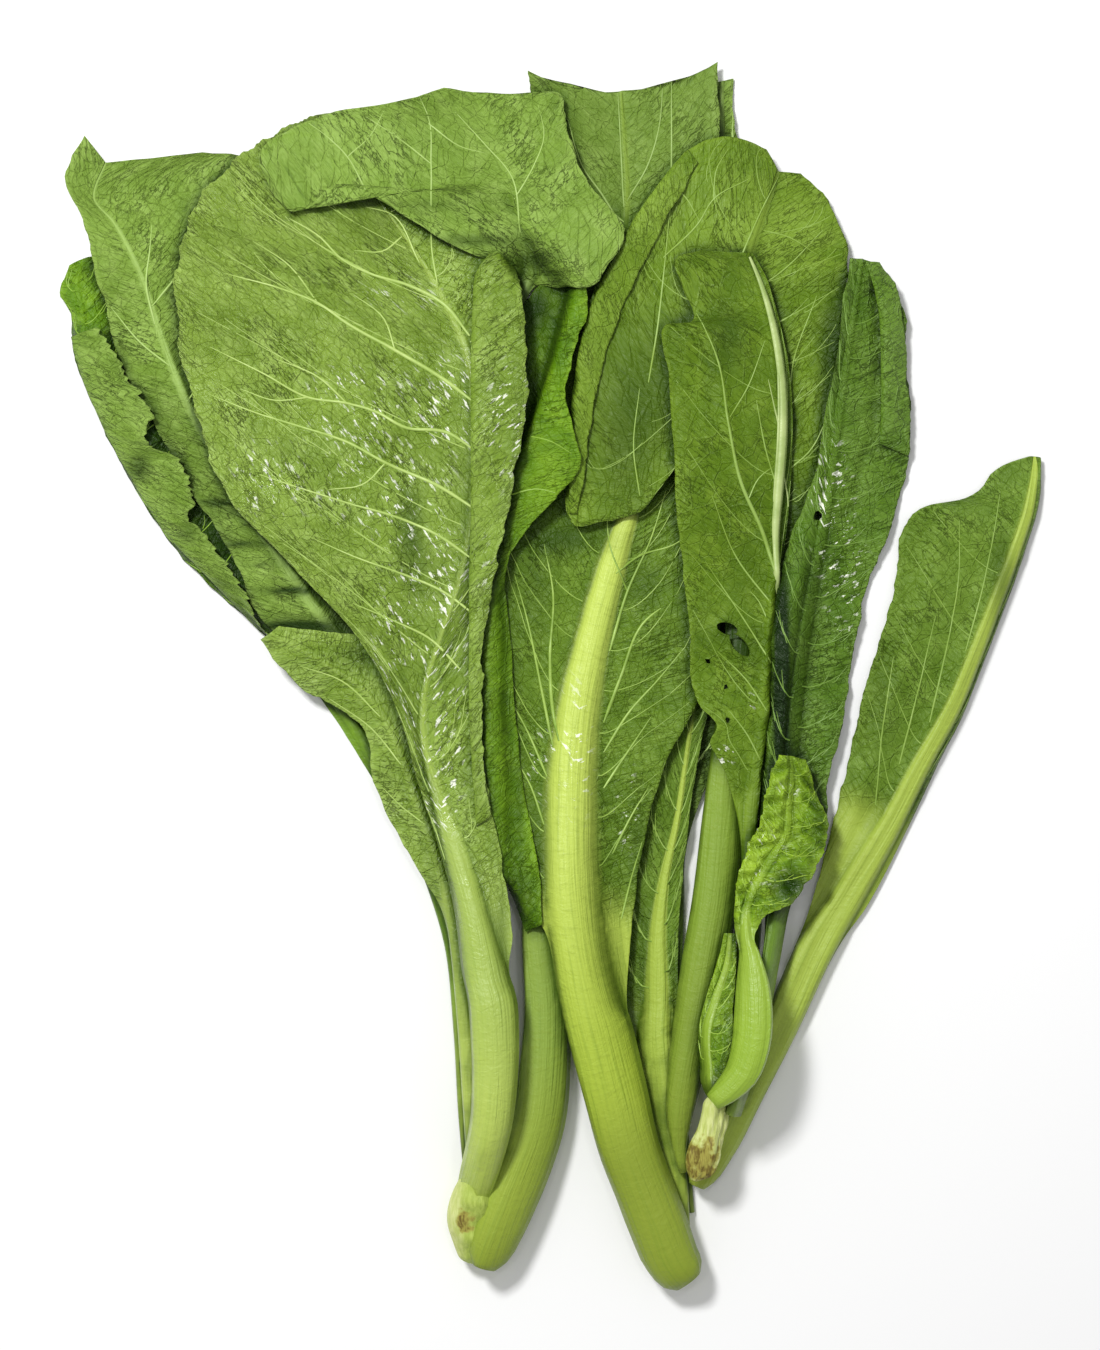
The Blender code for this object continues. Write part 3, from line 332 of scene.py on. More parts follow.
leafPlans["folded_leaf_front"] = {
    "slot": "leaf_bright", "look": "oliveGreen",
    "stalk": [(58.5, -134, 6), (61, -123, 8), (65.5, -100, 8), (67.5, -76, 8), (67.5, -62, 7)],
    "rows": [
        ((63.5, -54), (67, -54), (69.5, -53), 5.5), ((60.5, -39), (67.5, -40), (71, -39), 5),
        ((57, -29), (69, -30), (72.5, -28), 4.5), ((53.3, -22.5), (70.5, -22), (73.5, -21), 4.5),
        ((55.8, -17), (71.5, -15), (74.3, -14), 4.5), ((50, -10), (72, -8), (75, -7), 4),
        ((46.8, 0), (72.8, 1), (75.6, 2), 4), ((47, 12), (73.5, 13), (76.2, 14), 4),
        ((45, 31), (74.5, 31), (77.5, 32), 4), ((42.5, 52), (76, 52), (80, 53), 4),
        ((41, 78), (77.5, 76), (81.5, 77), 4.5), ((39.5, 100), (76.5, 97), (81, 98), 4.2),
        ((38.5, 117), (74.5, 114), (78, 115.5), 3.8), ((48, 119), (71.5, 125), (75, 126.5), 3.2),
        ((42, 139), (68.5, 134), (71.5, 135.5), 2.5), ((50, 142), (66, 141.5), (68, 142), 1.8),
    ],
    "ribShow": 0.12, "fineness": 1.7, "teeth": 0.5, "wrinkles": 0.2,
    "holes": [(59.2, 15.6, 3.6, 1.9, -15), (63.4, 10.0, 4.6, 2.0, -48), (54.8, 24, 1.2, 0.9, 20),
              (52.7, 5.2, 0.8, 1.7, 20), (58.8, -4.2, 0.7, 1.3, 0), (59.4, -15, 0.8, 1.1, 0)],
    "shadeAndToneSpots": [(46, 76, 5, 46, 0.3), (66, 20, 10, 26, -0.3), (79.5, 74, 3, 30, -0.7), (60, 112, 7, 16, -0.55),
              (52, 96, 5, 20, -0.3), (60, -24, 10, 20, 0.25), (59, 14, 6, 5, -0.3), (69, 78, 6, 24, -0.3)],
    "ridges": [{"line": [(76, 32), (71, 48), (63.5, 65), (59.5, 84), (56, 105), (51, 117)], "width": 2.2,
                "height": 1.2},
               {"line": [(46, 118), (44, 90), (46, 60)], "width": 3.0, "height": 0.8},
               {"line": [(56, 15), (59, 18.5), (65, 13), (69, 5)], "width": 2.2, "height": 0.9},
               {"line": [(64, 84), (68, 96), (70, 112)], "width": 3.0, "height": -0.8}],
    "wetSpots": [(58, -27, 4, 3, 1.0), (67, -9, 3, 3, 0.6)],
    "creamLines": [
        (1.9, [(66, 142), (70, 132.5), (73.3, 122), (76.2, 108), (77.6, 94), (77.6, 78), (76.4, 62), (75.4, 48),
                (75.8, 34), (76.4, 22)], "spindle"),
        (0.6, [(67.4, 138), (72.4, 127), (75.6, 112), (76.6, 94), (76.2, 76), (74.8, 58)], "spindle"),
        (0.35, [(77.8, 78), (74.6, 92), (73.0, 99)]), (0.3, [(77.4, 70), (79.5, 62), (80.4, 52)]),
    ],
    "veinLines": [
        (0.75, [(76, 32), (71, 48), (63.5, 65), (59.5, 84), (56, 105), (51, 117), (49, 121)]),
        (0.3, [(74, 24), (62, 40), (54, 60)]), (0.3, [(74, 4), (64, 20), (52, 38)]),
        (0.3, [(77, 60), (72, 76), (69, 92)]), (0.25, [(66, 58), (70, 66), (75, 70)]),
        (0.25, [(60, 86), (66, 96), (72, 112)]), (0.3, [(72.5, -12), (66, -2), (56, 8)]),
        (0.3, [(71, -30), (66, -20), (60, -12)]), (0.25, [(73, 18), (69, 26), (67, 28)]),
    ],
    "veins": {"spacing": 24},
    "fineVeins": {"spacing": 26, "radius": 0.12, "rise": 34, "start": 0.02, "forks": ()},
}
leafPlans["dark_leaf_right"] = {
    "slot": "leaf_dark", "look": "deepGreen",
    "stalk": [(61, -146, 6), (64, -136, 7), (68.5, -121, 7), (73.5, -96, 7)],
    "rows": [
        ((72, -76), (77, -77), (81.5, -76), 6.5), ((69.5, -54), (79, -57), (92, -55), 6),
        ((71.5, -30), (81, -33), (94, -35), 5), ((73.5, -8), (83, -9), (99.5, -14, -1), 5),
        ((74.5, 17), (86, 14), (102, 6, -2), 4.5), ((79, 42), (90, 38), (108, 32, -3), 4),
        ((89, 68), (94, 62), (117, 55, -4), 4), ((93, 90), (97, 86), (122, 80, -5), 3.5),
        ((97, 112), (100, 108), (120.5, 104, -5), 3), ((99, 130), (103, 126), (118.5, 125, -4), 2.5),
        ((101, 140), (105, 140), (109, 139), 1.5),
    ],
    "puckers": 0.8, "crumple": 0.7, "ribShow": 0.2, "fineness": 1.3, "wrinkles": 0.5,
    "holes": [(90, 53.6, 1.9, 1.5, 20)],
    "wetSpots": [(94, 60, 8, 20, 0.8), (100, 30, 8, 20, 0.6)],
    "shadeAndToneSpots": [(96, 112, 5, 26, -0.6), (77.5, 0, 3, 40, -1.5), (79, -40, 5, 20, -0.6), (112, 100, 6, 26, 0.4),
              (104, 78, 8, 34, 0.3), (108, 20, 5, 24, 0.2)],
    "ridges": [{"line": [(109, 132), (110, 108), (109, 84), (103, 60)], "width": 1.8, "height": -0.9},
               {"line": [(100, 126), (100, 96), (96, 60), (90, 20)], "width": 4.0, "height": 0.9}],
    "veins": {"spacing": 15, "radius": 0.25},
}
leafPlans["far_leaf_right"] = {
    "slot": "leaf_pale", "look": "farGreen",
    "stalk": [(49.5, -172, 6), (51, -169, 10), (56.5, -160, 12), (66.5, -141, 12), (77.5, -119, 12.5), (88, -96, 13)],
    "groove": 0.45,
    "rows": [
        ((89, -75, 1), (101, -73), (108, -77, -1), 12), ((97, -45, 2), (115, -50, 4), (121, -52, -3), 8.5),
        ((103, -20, 2), (126, -29, 7), (131.5, -30, -4), 7), ((107, -2, 2), (136, -11, 8), (140.5, -12, -4), 6),
        ((112, 14, 2), (143.5, 7, 9), (147.5, 6, -4), 5.5), ((117, 32, 2), (150.5, 25, 9), (154.5, 24, -4), 5),
        ((119, 49, 2), (156.5, 41, 9), (160.5, 41, -3), 4.5), ((127, 57, 2), (161, 54, 8), (164.5, 54, -2), 4),
        ((143, 61, 2), (163, 64, 6), (166, 63, 0), 3), ((153, 71, 2), (164, 71, 4), (166, 70, 2), 2),
        ((162, 74, 2), (164, 74, 2), (166, 73.5, 2), 1),
    ],
    "stalkEnd": 135, "wrinkles": 0.5,
    "shadeAndToneSpots": [(112, -8, 8, 34, -0.4), (134, 30, 12, 26, -0.25), (148, 56, 16, 12, 0.35), (152, 40, 5, 30, -0.6)],
    "ridges": [{"line": [(96, -62), (108, -30), (118, 0), (128, 30), (134, 52)], "width": 3.0, "height": 1.3},
               {"line": [(107, -50), (124, -18), (136, 12), (146, 40)], "width": 3.0, "height": -1.2}],
    "veinLines": [(0.35, [(118, -30), (124, -6), (130, 20)]), (0.35, [(128, -16), (134, 10), (138, 36), (138, 52)]),
                  (0.3, [(140, 8), (146, 30), (150, 50), (152, 62)]), (0.3, [(110, -44), (112, -20), (116, 6)])],
    "veins": {"spacing": 18},
    "fineVeins": {"spacing": 20, "radius": 0.16, "rise": 34, "start": 0.02, "forks": ()},
}
leafPlans["small_leaf_inner"] = {
    "slot": "leaf_pale", "look": "youngGreen",
    "stalk": [(54.5, -141, 3.5), (52.8, -137, 4)],
    "rows": [
        ((50, -130), (52.3, -130), (57, -133), 3.6), ((49.5, -118), (52, -118), (60, -122), 3.2),
        ((52, -107), (55, -108), (61, -108), 2.8), ((56, -95), (59, -96), (62, -97), 2.2),
        ((58, -86), (60, -86), (62, -86), 1.4),
    ],
    "teeth": 0.4,
    "veins": {"spacing": 7, "radius": 0.12},
}
leafPlans["young_leaf_curled"] = {
    "slot": "leaf_bright", "look": "youngGreen",
    "stalk": [(53.5, -140.5, 6), (57.5, -137.2, 8.5), (62.8, -131.5, 11), (66, -122, 12.5), (67, -111, 12.5),
              (66.8, -101, 10.5), (66, -93, 7)],
    "rows": [
        ((61.5, -86), (65, -85.5), (67.5, -87), 4.2), ((61, -77), (65.5, -77), (71, -80), 3.5),
        ((62.5, -68), (69, -69), (79, -76), 3.2), ((66, -58), (74, -61), (86, -68), 3),
        ((70, -50), (79, -53), (91, -58), 2.6), ((71.5, -41), (80, -43), (93, -49), 2.4),
        ((73.5, -33), (81, -35), (90, -40), 2), ((75.5, -26.5), (80.5, -27), (86, -28.5), 1.4),
    ],
    "teeth": 1.6, "crumple": 1.6, "fineness": 2.2, "ribShow": 0.3,
    "pleats": {"pace": 5.5, "height": 1.9},
    "shadeAndToneSpots": [(79, -40, 8, 14, 0.55), (90, -50, 5, 10, -0.6), (80, -70, 8, 7, -0.9), (67, -64, 5, 9, 1.0),
              (73, -54, 4, 5, 0.9), (66, -86, 6, 5, 0.3)],
    "wetSpots": [(70, -60, 8, 10, 0.7), (79, -38, 4, 3, 0.8)],
    "veins": {"spacing": 9, "radius": 0.16},
}

# folded margins that lie over their own leaf: each row runs from the fold out to the free edge
flapShape = {"rowStep": 1.1, "columns": 15, "foldShare": 0.3, "thinning": 0.65, "endLength": 12}
flapPlans = {}

flapPlans["outer_leaf_left_margin"] = {
    "slot": "leaf_bright", "look": "dullGreen", "rise": 1.5, "teeth": 2.2, "sharp": 2.2, "wrinkles": 1.0,
    "lip": 2.6,
    "rows": [
        ((-161.5, 114), (-153, 117)), ((-159.5, 106), (-146, 108)), ((-157, 98), (-140, 98)),
        ((-153.5, 90), (-133.5, 89)), ((-150, 82), (-136, 79)), ((-145, 73), (-127, 74)),
        ((-140.5, 65), (-120, 63)), ((-133, 52.5), (-121, 53)), ((-126, 43.5), (-112, 43)),
        ((-117, 34.5), (-104, 30)), ((-107, 24), (-98, 18)), ((-99, 16), (-94, 12)),
    ],
    "shadeAndToneSpots": [(-150, 98, 5, 14, 0.4), (-130, 56, 5, 10, 0.3), (-138, 70, 5, 6, -0.7), (-122, 48, 5, 5, -0.5),
              (-147, 104, 4, 5, -0.5), (-110, 30, 5, 6, -0.4)],
}
flapPlans["broad_leaf_front_margin"] = {
    "slot": "leaf_wet", "look": "wetGreen", "rise": 1.5, "teeth": 1.3, "wrinkles": 0.7, "lip": 0.9,
    "rows": [
        ((-24.5, -50), (-19.5, -47)), ((-26, -30), (-22, -28)), ((-27, -8), (-22.5, -6)), ((-27, 14), (-21.5, 16)),
        ((-27, 34), (-17.5, 37)), ((-26.5, 54), (-13.5, 57)), ((-26.5, 74), (-10, 77)), ((-26.5, 92), (-7.5, 93)),
        ((-26.5, 108), (-8, 108)), ((-26, 124), (-9, 124)), ((-24.5, 136), (-11, 136)), ((-20, 142), (-14, 142)),
    ],
    "wetSpots": [(-14, 84, 8, 20, 0.8), (-20, 30, 6, 20, 0.4)],
    "shadeAndToneSpots": [(-18, 100, 8, 50, -0.2), (-10, 70, 3, 50, -0.25)],
}
flapPlans["pale_leaf_front_margin"] = {
    "slot": "leaf_bright", "look": "freshGreen", "rise": 1.0, "teeth": 0.35, "wrinkles": 0.12, "lip": 0.5,
    "rows": [
        ((-8, -86), (-2.5, -83)), ((-12.5, -75), (-3, -73)), ((-17.5, -63), (-4.5, -61)), ((-21, -48), (-7.5, -46)),
        ((-23, -30), (-10, -28)), ((-24, -10), (-12, -8)), ((-23.5, 10), (-13, 12)), ((-22, 30), (-15, 32)),
        ((-18, 42), (-13, 42)),
    ],
    "shadeAndToneSpots": [(-9, -76, 6, 14, -0.5), (-21, 10, 5, 30, 0.5), (-15, -34, 3, 26, 0.4), (-10, -40, 2.5, 24, -0.5)],
}
flapPlans["round_leaf_back_margin"] = {
    "slot": "leaf_bright", "look": "roundGreen", "rise": 1.5, "teeth": 0.8, "wrinkles": 0.3,
    "rows": [
        ((46.5, 176.5), (50, 172)), ((38, 167), (43, 160)), ((29, 154), (36, 147)), ((20, 138), (28, 131)),
        ((12, 119), (20.5, 113)), ((8.5, 102), (16.5, 97)), ((6.5, 84), (13, 80)), ((6, 66), (11, 64)),
        ((6.5, 54), (9, 54)),
    ],
    "shadeAndToneSpots": [(14, 100, 14, 50, 0.4), (34, 158, 14, 14, 0.7)],
}
flapPlans["dark_leaf_right_margin"] = {
    "slot": "leaf_dark", "look": "deepGreen", "rise": 1.6, "teeth": 1.0, "wrinkles": 0.35,
    "rows": [
        ((111, 78), (121, 74)), ((111.5, 90), (121.5, 88)), ((111.5, 104), (120.5, 103)),
        ((111, 118), (119.5, 117)), ((109, 130), (117, 130)), ((106, 139), (111, 139)),
    ],
    "shadeAndToneSpots": [(116, 106, 8, 30, 0.6)],
}

# from the bottom of the bunch to the top
layingOrder = [
    "back_leaf_middle", "outer_leaf_left", "under_leaf_left", "outer_leaf_left_margin", "low_leaf_left",
    "long_leaf_back", "slim_leaf_middle", "pale_leaf_front", "round_leaf_back", "round_leaf_back_margin",
    "bright_leaf_inner", "pale_leaf_front_margin", "broad_leaf_front", "broad_leaf_front_margin",
    "crinkled_leaf_top", "far_leaf_right", "dark_leaf_right", "dark_leaf_right_margin", "folded_leaf_front",
    "small_leaf_inner", "young_leaf_curled",
]

# the stub's box stands for the whole drawing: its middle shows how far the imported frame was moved
stubMiddle = (51.75, -157.0)
stubLow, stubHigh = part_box("crown_right")
drawingShift = np.array([(stubLow[k] + stubHigh[k]) / 2 / mm - stubMiddle[k] for k in (0, 1)])


def curveThrough(knots, values, wanted):
    slopes = np.gradient(values, knots, axis=0)
    span = np.clip(np.searchsorted(knots, wanted, side="right") - 1, 0, len(knots) - 2)
    width = (knots[span + 1] - knots[span])[:, None]
    t = (wanted - knots[span])[:, None] / width
    return ((2 * t**3 - 3 * t**2 + 1) * values[span] + (t**3 - 2 * t**2 + t) * width * slopes[span]
            + (3 * t**2 - 2 * t**3) * values[span + 1] + (t**3 - t**2) * width * slopes[span + 1])


def drawnRows(leaf):
    stalk = np.array(leaf["stalk"], float)
    along = np.gradient(stalk[:, :2], axis=0)
    along /= np.linalg.norm(along, axis=1)[:, None]
    across = np.stack([along[:, 1], -along[:, 0]], axis=1) * stalk[:, 2:] / 2
    rows = [(*(m - a), 0, *m, 0, *(m + a), 0, w) for m, a, w in zip(stalk[:, :2], across, stalk[:, 2])]
    for left, middle, right, width in leaf["rows"]:
        points = [(*point, 0)[:3] for point in (left, middle, right)]
        rows.append((*points[0], *points[1], *points[2], width))
    return np.array(rows, float)


def fineSections(leaf):
    # the same smooth rows as the solid's, many more of them, and each row's length along the leaf
    rows = drawnRows(leaf)
    steps = np.linalg.norm(np.diff(rows[:, :9].reshape(-1, 3, 3), axis=0), axis=2).mean(axis=1)
    stalkRows = len(leaf["stalk"]) - 1
    paced = steps.copy()
    paced[:stalkRows] *= sheet["stalkPace"]
    knots = np.concatenate([[0], np.cumsum(paced)])
    wanted = []
    for k, length in enumerate(steps):
        step = sheet["stalkStep"] if k < stalkRows else sheet["rowStep"] / leaf.get("fineness", 1)
        count = max(2, round(length / step))
        wanted.extend(knots[k] + (knots[k + 1] - knots[k]) * np.arange(count) / count)
    wanted.append(knots[-1])
    return curveThrough(knots, rows, np.array(wanted))


def wobble(points, size, seed):
    # smooth noise at these points, one value for each
    flat = np.asarray(points, float).reshape(-1, points.shape[-1]) / size + seed * 17.3
    if flat.shape[1] == 2:
        flat = np.column_stack([flat, np.full(len(flat), seed * 3.7)])
    return np.array([noise(point) for point in flat.tolist()]).reshape(points.shape[:-1])


def leafSurface(name, seed):
    leaf = leafPlans[name]
    rows = fineSections(leaf)
    left, middle, right, width = rows[:, 0:3], rows[:, 3:6], rows[:, 6:9], np.maximum(rows[:, 9], 0.8)
    along = np.concatenate([[0], np.cumsum(np.linalg.norm(np.diff(middle[:, :2], axis=0), axis=1))])
    bladeColumns = round(sheet["bladeColumns"] * leaf.get("fineness", 1))
    side = sheet["ribColumns"] - 1 + bladeColumns
    shape = (len(rows), 2 * side + 1)
    surface = {"name": name, "xy": np.zeros(shape + (2,)), "above": np.zeros(shape), "below": np.zeros(shape),
               "rib": np.zeros(shape), "across": np.zeros(shape), "toEdge": np.zeros(shape),
               "out": np.zeros(shape), "along": np.repeat(along[:, None], shape[1], axis=1)}
    half = sheet["bladeThickness"] / 2
    depth = sheet["ribDepth"] * width
    groove = leaf.get("groove", 0.0)
    for sign, edge in ((-1, left), (1, right)):
        reach = np.linalg.norm((edge - middle)[:, :2], axis=1)
        rib = np.minimum(sheet["widestRib"], width / 2 / reach)
        isBlade = np.clip((0.6 - rib) / 0.6, 0, 1)
        outward = (edge - middle)[:, :2] / reach[:, None]
        edgeLength = np.concatenate([[0], np.cumsum(np.linalg.norm(np.diff(edge[:, :2], axis=0), axis=1))])
        tooth = leaf.get("teeth", 1.0) * toothed(edgeLength, seed + sign)
        tipped = edge[:, :2] + outward * (tooth * isBlade)[:, None]
        ribShares = [rib * k / (sheet["ribColumns"] - 1) for k in range(sheet["ribColumns"])]
        bladeShares = [rib + (1 - rib) * (k + 1) / bladeColumns for k in range(bladeColumns)]
        for column, share in enumerate(ribShares + bladeShares):
            place = side + sign * column
            surface["xy"][:, place] = middle[:, :2] + (tipped - middle[:, :2]) * share[:, None]
            surface["xy"][-1, place, 1] -= leaf.get("tipSag", 0) * 4 * share[-1] * (1 - share[-1])
            fromMiddle = share * reach / (width / 2)
            roundness = np.sqrt(np.clip(1 - fromMiddle**2, 0, 1))
            hollow = groove * np.exp(-((share * reach / (0.22 * width)) ** 2))
            surface["above"][:, place] = np.maximum(half, depth * (sheet["ribAbove"] * roundness - hollow * 0.5))
            surface["below"][:, place] = np.maximum(half, depth * (1 - sheet["ribAbove"]) * roundness)
            surface["rib"][:, place] = np.clip(1.25 - fromMiddle, 0, 1) ** 0.7
            surface["across"][:, place] = sign * share * reach
            surface["toEdge"][:, place] = (1 - share) * reach
            surface["out"][:, place] = np.clip((share - rib) / (1 - rib), 0, 1)
    halfWidth = np.maximum(np.linalg.norm((right - left)[:, :2], axis=1) / 2, 1)
    isBlade = np.clip((0.6 - width / 2 / halfWidth) / 0.3, 0, 1)
    surface["blade"] = np.repeat(isBlade[:, None], shape[1], axis=1)
    stalkEnd = leaf.get("stalkEnd", 0)
    if stalkEnd:
        surface["blade"] = surface["blade"] * np.clip((surface["along"] - stalkEnd) / 25, 0, 1)
    surface["rib"] *= 1 - (1 - leaf.get("ribShow", 1.0)) * surface["blade"]
    return surface


def nearestOnLine(points, line):
    # distance from each point to a line through a few places
    flat = points.reshape(-1, 2)
    best = np.full(len(flat), 1e9)
    for a, b in zip(np.array(line[:-1], float), np.array(line[1:], float)):
        t = np.clip(((flat - a) @ (b - a)) / ((b - a) @ (b - a)), 0, 1)
        best = np.minimum(best, np.linalg.norm(flat - a - t[:, None] * (b - a), axis=1))
    return best.reshape(points.shape[:-1])


def spotted(points, spots):
    # soft round spots: x, y, the two radii and the strength
    total = np.zeros(points.shape[:-1])
    for x, y, radiusX, radiusY, strength in spots:
        apart = ((points[..., 0] - x) / radiusX) ** 2 + ((points[..., 1] - y) / radiusY) ** 2
        total += strength * np.exp(-apart)
    return total


def toothed(length, seed, sharp=1.0):
    # uneven lobes with small sharp teeth on them, about -1 to 1
    line = np.column_stack([length, np.zeros(len(length))])
    lobes = wobble(line, 7.0, seed) * 1.2
    turns = length / 3.3 + wobble(line, 10.0, seed + 4) * 2.0
    saw = (turns % 1.0) * (0.3 + 0.6 * np.abs(wobble(line, 5.0, seed + 7)))
    return lobes + (saw - 0.25) * sharp


def smoothRows(values, rounds):
    for _ in range(rounds):
        for axis in (0, 1):
            turned = np.swapaxes(values, 0, axis)
            padded = np.concatenate([turned[:1], turned, turned[-1:]])
            values = np.swapaxes((padded[:-2] + 2 * padded[1:-1] + padded[2:]) / 4, 0, axis)
    return values


def heightOnSolid(surface):
    # the middle of the solid that the leaf replaces, straight below each point, or at the nearest point
    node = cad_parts[surface["name"]].data
    tree = BVHTree.FromPolygons([v.co for v in node.vertices], [tuple(p.vertices) for p in node.polygons])
    places = (surface["xy"] + drawingShift) * mm
    heights = np.zeros(places.shape[:2])
    for index in np.ndindex(heights.shape):
        x, y = places[index]
        top = tree.ray_cast(Vector((x, y, 1.0)), Vector((0, 0, -1)))[0]
        low = tree.ray_cast(Vector((x, y, -1.0)), Vector((0, 0, 1)))[0]
        if top is None or low is None:
            near = tree.find_nearest(Vector((x, y, heights[index[0], index[1] - 1] * mm)))[0]
            heights[index] = near.z / mm
        else:
            heights[index] = (top.z + low.z) / 2 / mm
    return heights


class Pile:
    def __init__(self):
        self.height = np.zeros([int(2 * half / sheet["mapCell"]) + 1 for half in sheet["mapHalf"]])

    def cells(self, xy):
        places = np.rint((xy + sheet["mapHalf"]) / sheet["mapCell"]).astype(int)
        return places[..., 0], places[..., 1]

    def doubled(self, values):
        for axis in (0, 1):
            values = np.swapaxes(values, 0, axis)
            between = (values[:-1] + values[1:]) / 2
            longer = np.zeros((2 * len(values) - 1,) + values.shape[1:])
            longer[::2], longer[1::2] = values, between
            values = np.swapaxes(longer, 0, axis)
        return values

    def add(self, surface):
        top = surface["z"] + surface["above"]
        xy = self.doubled(surface["xy"])
        np.maximum.at(self.height, self.cells(xy), self.doubled(top))

    def ground(self, xy):
        padded = np.pad(self.height, 1, mode="edge")
        a, b = self.height.shape
        around = np.max([padded[i:i + a, j:j + b] for i in range(3) for j in range(3)], axis=0)
        return around[self.cells(xy)]

    def settle(self, surface):
        # lifts the leaf where its fine relief would touch what lies under it, smoothly
        ground = self.ground(surface["xy"])
        gap = np.where(ground > 0, sheet["layerGap"], 0)
        needed = ground + gap - (surface["z"] - surface["below"])
        needed = np.where(needed > sheet["deepestOverlap"], 0, np.maximum(needed, 0))
        lift = needed.copy()
        for _ in range(sheet["liftRounds"]):
            lift = np.maximum(needed, smoothRows(lift, 2))
        surface["z"] = surface["z"] + lift
        return lift


def coverShade(surface, pile):
    # how far higher leaves crowd round each point, 0 to 1, which the material turns into painted shade
    top = surface["z"] + surface["above"]
    total = np.zeros(top.shape)
    directions = sheet["shadeDirections"]
    lowest, span = sheet["shadeHeights"]
    for radius in sheet["shadeReaches"]:
        for angle in np.arange(directions) * 2 * math.pi / directions:
            beside = surface["xy"] + radius * np.array([math.cos(angle), math.sin(angle)])
            total += np.clip((pile.height[pile.cells(beside)] - top - lowest) / span, 0, 1)
    return total / (directions * len(sheet["shadeReaches"]))


def relief(surface, leaf, seed):
    # waves, puckers, pleats and crumples of the blade, in millimetres of height
    xy, out, blade = surface["xy"], surface["out"], surface["blade"]
    fade = np.clip(out * 4, 0, 1) * blade
    outward = np.abs(surface["across"])
    slant = surface["along"] - 0.7 * outward
    spacing = leaf["veins"]["spacing"]
    quilt = np.cos(slant / spacing * 2 * math.pi) * 0.35 * np.sin(math.pi * np.clip(out, 0, 1) * 0.9)
    wrinkles = wobble(np.stack([slant / 3.2, surface["across"] / 15], axis=-1), 1.0, seed)
    swell = wobble(xy, 16.0, seed + 1)
    edge = np.sin(surface["along"] / 4.1 + seed) * np.clip(out - 0.72, 0, 1) * 1.8
    footLength, footFall = leaf.get("footDrop", (1, 0))
    fall = footFall * np.clip(1 - surface["along"] / footLength, 0, 1) ** 2
    height = (quilt + wrinkles * leaf.get("wrinkles", 0.3) + swell * 0.5 + edge * 0.8) * fade
    if "puckers" in leaf:
        crease = np.abs(wobble(np.stack([slant / 4.0, surface["across"] / 8], axis=-1), 1.0, seed + 2))
        wet = np.clip(spotted(xy, leaf.get("wetSpots", [])), 0, 1)
        height += (0.3 - crease) * leaf["puckers"] * (0.35 + wet) * fade
        fine = wobble(np.stack([slant / 2.3, surface["across"] / 11], axis=-1), 1.0, seed + 9)
        height += fine * wet * 0.9 * fade
    if "crumple" in leaf:
        crease = np.abs(wobble(xy, 7.0, seed + 3))
        height += (0.4 - crease) * leaf["crumple"] * fade * 1.4
    if "pleats" in leaf:
        fold = np.abs(((surface["along"] + 0.4 * outward) / leaf["pleats"]["pace"]) % 1.0 - 0.5) * 2
        height += fold * leaf["pleats"]["height"] * fade
    for ridge in leaf.get("ridges", []):
        apart = nearestOnLine(xy, ridge["line"]) / ridge["width"]
        height += ridge["height"] * np.exp(-(apart**2))
    return height - fall


def flapSurface(name, seed):
    # a folded margin: rows from the fold, which is rounded, out to the free edge
    flap = flapPlans[name]
    pairs = np.array([fold + free for fold, free in flap["rows"]], float)
    steps = np.linalg.norm(np.diff(pairs, axis=0).reshape(-1, 2, 2), axis=2).mean(axis=1)
    knots = np.concatenate([[0], np.cumsum(steps)])
    wanted = np.linspace(0, knots[-1], max(8, round(knots[-1] / flapShape["rowStep"])))
    rows = curveThrough(knots, pairs, wanted)
    shares = np.linspace(0, 1, flapShape["columns"])
    foldShare = flapShape["foldShare"]
    fold, free = rows[:, None, :2], rows[:, None, 2:]
    width = np.linalg.norm(free - fold, axis=2)
    tooth = flap.get("teeth", 1.0) * toothed(wanted, seed, flap.get("sharp", 1.0))[:, None, None]
    free = free + (free - fold) / np.maximum(width, 1)[..., None] * tooth
    xy = fold + (free - fold) * shares[None, :, None]
    shape = xy.shape[:2]
    along = np.repeat(wanted[:, None], shape[1], axis=1)
    across = shares[None, :] * width
    ends = np.clip(np.minimum(wanted, wanted[-1] - wanted) / flapShape["endLength"], 0, 1)[:, None] ** 0.6
    half = np.full(shape, sheet["bladeThickness"] / 2)
    rounded = np.sqrt(np.clip(1 - (np.clip(foldShare - shares, 0, 1) / foldShare) ** 2, 0, 1))
    profile = rounded * (1 - flapShape["thinning"] * np.clip((shares - foldShare) / (1 - foldShare), 0, 1) ** 1.5)
    wave = wobble(np.stack([along / 9, across / 9], axis=-1), 1.0, seed) * shares[None, :] * 1.2
    wrinkle = wobble(np.stack([along / 1.9, across / 12], axis=-1), 1.0, seed + 5) * flap.get("wrinkles", 0.4)
    wave = wave + flap.get("lip", 0.0) * shares[None, :] ** 2
    return {"name": name, "xy": xy, "above": half, "below": half.copy(), "rib": np.zeros(shape),
            "across": across, "toEdge": width - across, "out": np.repeat(shares[None, :], shape[0], axis=0),
            "along": along, "blade": np.ones(shape),
            "rise": (profile[None, :] * flap["rise"] + wave + wrinkle * rounded) * ends}


def gridFaces(rows, columns):
    i, j = np.meshgrid(np.arange(rows - 1), np.arange(columns - 1), indexing="ij")
    a = (i * columns + j).ravel()
    quads = np.stack([a, a + 1, a + 1 + columns, a + columns], axis=1)
    shift = rows * columns
    rim = list(range(columns)) + [k * columns + columns - 1 for k in range(1, rows)]
    rim += [(rows - 1) * columns + k for k in range(columns - 2, -1, -1)]
    rim += [k * columns for k in range(rows - 2, 0, -1)]
    rim = np.array(rim)
    nextRim = np.roll(rim, -1)
    walls = np.stack([rim, rim + shift, nextRim + shift, nextRim], axis=1)
    return np.concatenate([quads, quads[:, ::-1] + shift, walls])


